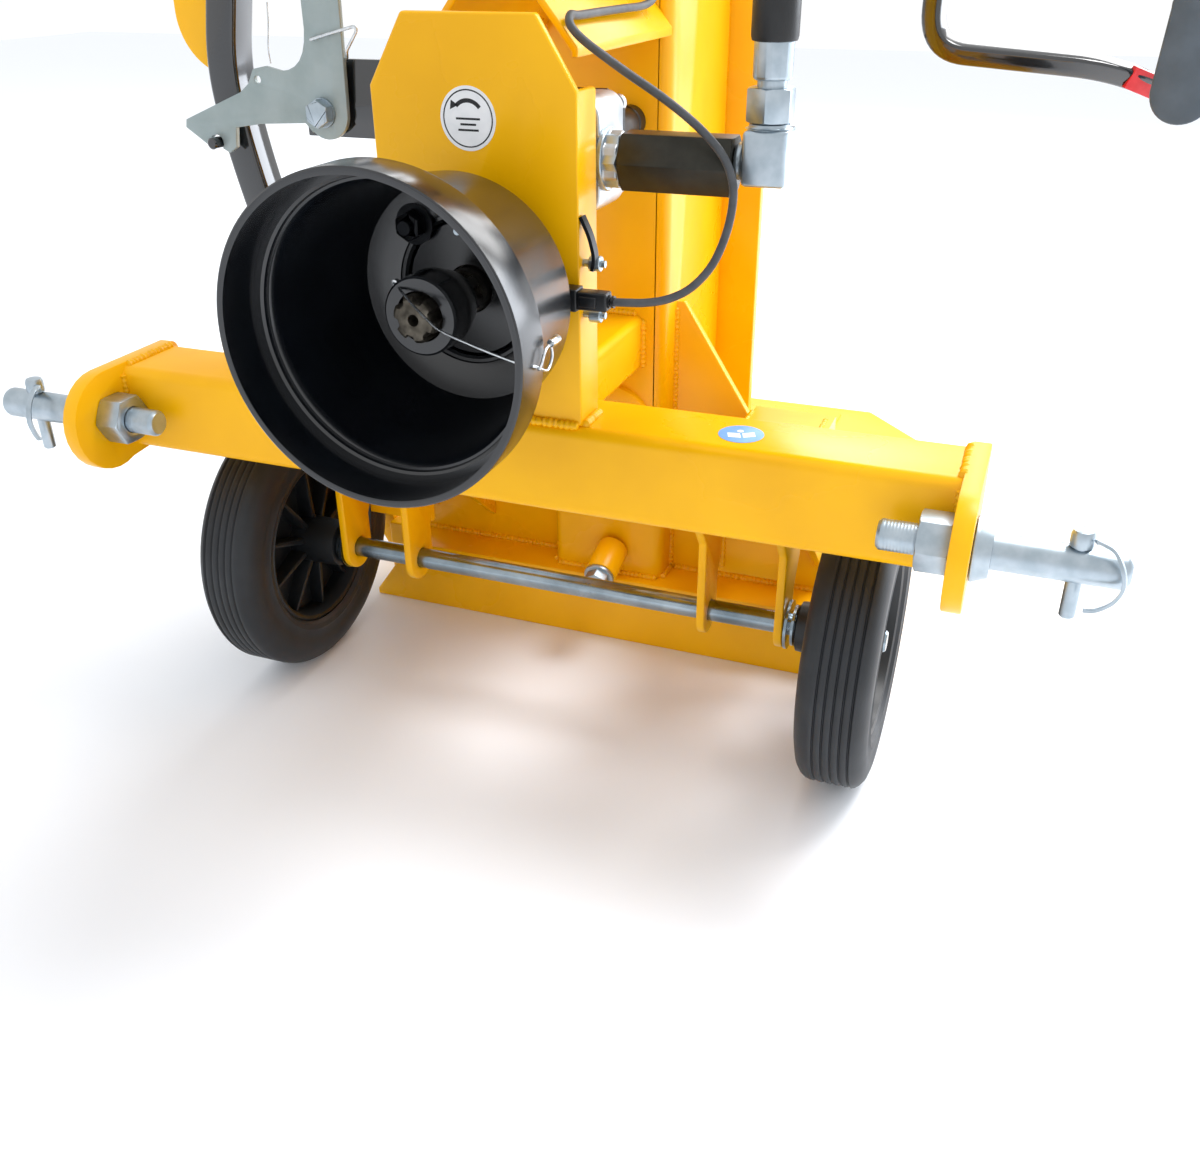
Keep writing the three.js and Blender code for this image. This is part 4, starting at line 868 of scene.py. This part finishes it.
plug_plastic = patterned("plug_plastic", "#0B0D10", "#14171B", 12, (0.3, 0.42), 0.1, 1.0)
plug_parts = [
    block((62, -367, 466.4), (84, -351, 483.6), 1.2),
    block((82, -366, 468), (108, -352.6, 482), 1.6),
    block((86, -367.6, 471), (100, -365, 479), 0.8),
]
for k in range(3):
    x = 104 + 3.2 * k
    radius = 5.6 - 0.5 * k
    ridge = [(3.2, x), (radius, x), (radius, x + 2), (3.2, x + 2), (3.2, x)]
    plug_parts.append(turned(ridge, "X", (0, -359, 475), 24))
fitted(joined("plug", plug_parts), "cable_plug_housing", "frame", "black_plastic", plug_plastic)
strap_route = bends([(81, -345, 534), (88, -345, 520), (92, -345, 504), (90, -345, 494)], 6, 5)
strap = swept([(-1.4, -4), (1.4, -4), (1.4, 4), (-1.4, 4)], strap_route)
fitted(strap, "cable_strap", "frame", "black_plastic", plug_plastic)
knob = [(0, 80), (3, 80), (3, 85), (5.6, 85.4), (6, 86), (6, 94), (5.6, 94.6), (2.8, 95), (2.8, 98), (0, 98)]
knobs = [turned(knob, "X", (0, -340, z), 12) for z in (498, 458)]
fitted(joined("knobs", knobs), "edge_screws", "frame", "zinc", zinc_plate)
socket = softened("cable_socket", 2.0, 3)
fitted(socket, "cable_socket_housing", "frame", "black_plastic", plug_plastic, "cable_socket")


# ---------------------------------------------------------------------------
# Log lifter: bent square tube in glossy black enamel, hinged on the side of the
# base, with a yellow shoe plate welded behind it.
# ---------------------------------------------------------------------------
black_enamel = patterned(
    "black_enamel",
    "#0B0D11",
    "#12151A",
    50,
    (0.1, 0.2),
    0.05,
    3.0,
    **{"IOR": 1.6, "Coat Weight": 0.7, "Coat Roughness": 0.05, "Coat IOR": 1.6},
)


def square_section(size, corner):
    """Outline of a square tube with rounded corners."""
    half, points = size / 2 - corner, []
    for turn, (a, b) in enumerate(((1, 1), (-1, 1), (-1, -1), (1, -1))):
        for k in range(4):
            angle = math.radians(90 * turn + 30 * k)
            points.append((a * half + corner * math.cos(angle), b * half + corner * math.sin(angle)))
    return points


LIFT_Y, LIFT_REAR = -60, 410
lifter_section = square_section(36, 5)
front_bow = [(-322, LIFT_Y, 104), (-346, LIFT_Y, 190), (-375, LIFT_Y, 320), (-424, LIFT_Y, 513)]
front_bow += [(-437, LIFT_Y, 596), (-404, LIFT_Y, 760), (-404, LIFT_Y, 840)]
rear_bow = [(-322, LIFT_REAR, 104), (-346, LIFT_REAR, 190), (-384, LIFT_REAR, 352)]
lifter_parts = [
    swept(lifter_section, bends(front_bow, 40, 12)),
    swept(lifter_section, bends(rear_bow, 34, 8)),
    swept(lifter_section, [(-370, LIFT_Y, 324), (-370, LIFT_REAR, 324)]),
]
for piece in lifter_parts:
    smooth(piece, 35)
for y in (LIFT_Y, LIFT_REAR):
    bush = [(9.2, y - 18), (22, y - 18), (22, y + 18), (9.2, y + 18), (9.2, y - 18)]
    lifter_parts.append(turned(bush, "Y", (-322, 0, 104), 40))
catch_pin = [(0, -106), (4.6, -106), (6, -104.8), (6, -76), (0, -76)]
lifter_parts.append(turned(catch_pin, "Y", (-438, 0, 528), 24))
fitted(joined("lifter", lifter_parts), "lifter_tubes", "lifter", "black_paint", black_enamel, "lifter_frame")
shoe = softened("lifter_shoe", 1.4, 2)
fitted(shoe, "lifter_shoe_plate", "lifter", "yellow_paint", yellow_coat, "lifter_shoe")
hinge = softened("lifter_hinge", 1.0, 2)
fitted(hinge, "lifter_hinge_steel", "frame", "yellow_paint", yellow_coat, "lifter_hinge")


# ---------------------------------------------------------------------------
# Transport latch of the lifter: a laser-cut, galvanised lever on a hexagon bolt,
# carried by a black bar from the column. A wire clip holds it.
# ---------------------------------------------------------------------------
galvanised = patterned("galvanised_plate", "#93A1A2", "#9DAAAB", 26, (0.4, 0.5), 0.05, 2.4, Metallic=0.35)
fitted(softened("latch_bracket", 1.2, 2), "latch_bar", "frame", "black_paint", black_enamel, "latch_bracket")
fitted(softened("latch_plate", 0.7, 2), "latch_lever", "latch", "zinc", galvanised, "latch_plate")
latch_bolt = joined(
    "bolt",
    [
        turned([(0, -98.6), (14.4, -98.6), (14.4, -96.2), (0, -96.2)], "Y", (-301, 0, 563), 40),
        hexagon(24, -109.6, -98.6, "Y", (-301, 0, 563), 0, 0.7),
    ],
)
fitted(latch_bolt, "latch_pivot_bolt", "frame", "zinc", zinc_plate, "latch_bolt")
clip_corners = [(-304, -100, 631), (-280, -101, 637), (-251, -101, 644), (-249, -101, 640)]
clip_corners += [(-263, -101, 622), (-266, -96, 616), (-272, -90, 612)]
clip_route = bends(clip_corners, 4, 4)
clip = swept(ring_section(1.6, 10), clip_route)
smooth(clip, 60)
hanging_route = [(-349, -100, 664), (-350, -101, 645), (-354, -101, 622), (-356, -97, 608)]
hanging = swept(ring_section(0.8, 8), curved(hanging_route, 6))
smooth(hanging, 60)
fitted(joined("wires", [clip, hanging]), "latch_wire_clip", "latch", "zinc", bright_wire)


# ---------------------------------------------------------------------------
# Control arms: black enamelled square tube, bent from the pivots behind the
# column round to the operator, with ribbed grips and grey plastic hand guards.
# ---------------------------------------------------------------------------
ARM_PIVOT = Vector((0, 20, 980))
arm_section = square_section(22, 4)
arm_route = [(150, 20, 980), (150, 90, 980), (247, 320, 974), (247, 320, 603), (445, 320, 588)]
arm_route += [(511, 368, 560), (511, 368, 620)]
guard_grey = patterned("slate_guard_plastic", "#414E5A", "#4B5967", 30, (0.36, 0.5), 0.12, 1.8)
grip_rubber = patterned("grip_rubber", "#15171A", "#1E2124", 12, (0.5, 0.66), 0.3, 1.2)


def arm_tubes():
    tube = swept(arm_section, bends(arm_route, 42, 12))
    smooth(tube, 35)
    collar = turned([(9.4, 135), (19, 135), (19, 167), (9.4, 167), (9.4, 135)], "X", ARM_PIVOT, 40)
    tooth = [(239, 700), (239, 840), (176, 836), (162, 822), (176, 806)]
    tooth += [(162, 786), (176, 768), (162, 750), (176, 732)]
    claw = flat_shape(tooth, 8, (0, 324, 0), facing_front)
    bevelled(claw, 0.8, 2)
    smooth(claw)
    return joined("arm", [tube, collar, claw])


def arm_grip():
    profile = [(0, 620.4), (14, 620.4), (17, 623), (17, 630)]
    for k in range(10):
        z = 632 + 11.4 * k
        profile += [(15.2, z), (15.2, z + 2.4), (16.4, z + 4), (16.4, z + 9)]
    profile += [(17, 748), (16.6, 753), (13, 759), (8, 760), (0, 760)]
    return turned(profile, "Z", (511, 368, 0), 40)


def hand_guard():
    """Oblong moulded plate with rounded edges."""
    lower_turns = [math.pi + math.pi * k / 20 for k in range(21)]
    upper_turns = [math.pi * k / 16 for k in range(17)]
    outline = [(520 + 33 * math.cos(a), 568 + 33 * math.sin(a)) for a in lower_turns]
    outline += [(549, 790)] + [(524 + 25 * math.cos(a), 790 + 25 * math.sin(a)) for a in upper_turns]
    plate = flat_shape(outline, 5, (0, 303, 0), facing_front)
    bevelled(plate, 1.8, 3, 50)
    smooth(plate, 40)
    return plate


red_vinyl = patterned("red_vinyl_marker", "#D8262B", "#E23338", 12, (0.3, 0.4))
marker_section = [(-11.6, -11.8), (11.6, -11.8), (11.6, -4), (-11.6, -4)]
marker = swept(marker_section, [(460, 330.9, 581.6), (478, 344, 574), (500, 360, 564.7)])
fitted(marker, "red_marker_strip", "right_arm", "black_paint", red_vinyl)
for name, s, raised in (("left", -1, 24), ("right", 1, 0)):
    lift = Matrix.Translation(ARM_PIVOT * MM) @ Matrix.Rotation(math.radians(raised), 4, "X")
    lift = lift @ Matrix.Translation(-ARM_PIVOT * MM)
    for part, maker, slot, finish, node in (
        ("arm_tube", arm_tubes, "black_paint", black_enamel, "control_arm"),
        ("grip_sleeve", arm_grip, "black_plastic", grip_rubber, "hand_grip"),
        ("guard_shield", hand_guard, "guard_plastic", guard_grey, "hand_guard"),
    ):
        piece = maker()
        if s < 0:
            twin = mirrored(piece)
            bpy.data.objects.remove(piece)
            piece = twin
        piece.data.transform(lift)
        fitted(piece, f"{name}_{part}", name + "_arm", slot, finish, f"{name}_{node}")
    bracket = softened(name + "_arm_bracket", 1.0, 2)
    fitted(bracket, name + "_arm_mount", "frame", "yellow_paint", yellow_coat, name + "_arm_bracket")


# ---------------------------------------------------------------------------
# Splitting carriage with its wedge, the cylinder and its rod. The wedge is bare
# ground steel, the rod hard chromed, the rest is in the yellow coat.
# ---------------------------------------------------------------------------
ground_steel = patterned("ground_tool_steel", "#7E8387", "#9FA4A8", 25, (0.28, 0.46), 0.2, 2.0, Metallic=0.95)
hard_chrome = patterned("hard_chrome", "#D5D9DC", "#E6E9EB", 60, (0.06, 0.1), Metallic=1.0)
carriage = softened("splitting_carriage", 1.6, 2)
fitted(carriage, "carriage_steel", "carriage", "yellow_paint", yellow_coat, "splitting_carriage")
wedge = softened("splitting_wedge", 1.0, 2)
fitted(wedge, "wedge_steel", "carriage", "bare_steel", ground_steel, "splitting_wedge")
ROD_Y = 232
rod_profile = [(0, 1062), (12, 1062), (12, 1100.3), (20.6, 1100.3), (22, 1102), (22, 1868)]
rod_profile += [(36.4, 1868), (37.6, 1870), (37.6, 1903), (36.4, 1904), (0, 1904)]
rod = turned(rod_profile, "Z", (0, ROD_Y, 0), 48)
fitted(rod, "chromed_rod", "carriage", "chrome_rod", hard_chrome, "piston_rod")
barrel_profile = [(38, 1130), (44, 1130), (45, 1131), (45, 1928), (43, 1930)]
barrel_profile += [(0, 1930), (0, 1908), (38, 1908), (38, 1130)]
barrel_parts = [turned(barrel_profile, "Z", (0, ROD_Y, 0), 64)]
for s, port_height in ((1, 1868), (-1, 1165)):
    port = [(r, s * x) for r, x in ((0, 42), (12, 42), (12, 66), (14, 67), (14, 69), (12, 70), (0, 70))]
    barrel_parts.append(turned(port, "X", (0, ROD_Y, port_height), 32))
barrel = joined("barrel", barrel_parts)
fitted(barrel, "cylinder_tube", "frame", "yellow_paint", yellow_coat, "cylinder_barrel")
gland = [(22.3, 1122), (35, 1122), (37.6, 1124), (37.6, 1156), (22.3, 1156), (22.3, 1122)]
gland_nut = turned(gland, "Z", (0, ROD_Y, 0), 56)
fitted(gland_nut, "cylinder_gland_nut", "frame", "zinc", zinc_plate, "cylinder_gland")
clamp = softened("barrel_clamp", 1.4, 2)
fitted(clamp, "barrel_clamp_block", "frame", "yellow_paint", yellow_coat, "barrel_clamp")


# ---------------------------------------------------------------------------
# Control valve on the column with its spool, rocker and the two cylinder hoses,
# and the small fittings: filler cap, drain plug and top link pin.
# ---------------------------------------------------------------------------
fitted(softened("valve_body", 1.6, 2), "valve_casting", "frame", "black_paint", blacked, "valve_body")
fitted(softened("valve_spool", 0.5, 1), "valve_spool_rod", "spool", "chrome_rod", hard_chrome, "valve_spool")
fitted(softened("valve_rocker", 0.8, 2), "valve_rocker_plate", "spool", "zinc", galvanised, "valve_rocker")
upper = [(38, -115, 1118.5), (38, -115, 1148), (44, -114, 1240), (70, -106, 1340)]
upper += [(116, -50, 1470), (134, 70, 1610), (134, 160, 1740), (126, 216, 1830)]
upper += [(104, 232, 1868), (92, 232, 1868), (70.5, 232, 1868)]
lower = [(-2, -115, 1118.5), (-2, -115, 1148), (-14, -113, 1250), (-70, -106, 1320), (-136, -40, 1340)]
lower += [(-166, 70, 1300), (-160, 170, 1230), (-124, 226, 1168), (-104, 232, 1165)]
lower += [(-92, 232, 1165), (-70.5, 232, 1165)]
for name, route in (("upper", upper), ("lower", lower)):
    hose = swept(ring_section(8.8, 18), curved(route, 8))
    smooth(hose, 60)
    fitted(hose, f"cylinder_hose_{name}_rubber", "frame", "hose_rubber", hose_cover, "cylinder_hose_" + name)

cap_profile = [(0, 1340), (4, 1340), (4, 1530.3), (24, 1530.3), (27, 1533)]
cap_profile += [(27, 1543), (24, 1547), (18, 1548), (0, 1548)]
cap = turned(cap_profile, "Z", (0, -20, 0), 40)
fitted(cap, "filler_cap_moulding", "filler", "black_plastic", plug_plastic, "filler_cap")
fitted(softened("drain_plug", 0.6, 2), "drain_plug_hexagon", "frame", "zinc", zinc_plate, "drain_plug")
link_pin_profile = [(0, -62), (18, -62), (19, -61), (19, -55), (18, -54)]
link_pin_profile += [(12.5, -54), (12.5, 46), (9, 50), (0, 50)]
link_pin = turned(link_pin_profile, "X", (0, -156, 845), 40)
fitted(link_pin, "top_pin_bar", "top_pin", "zinc", zinc_plate, "top_link_pin")

clear_selection()
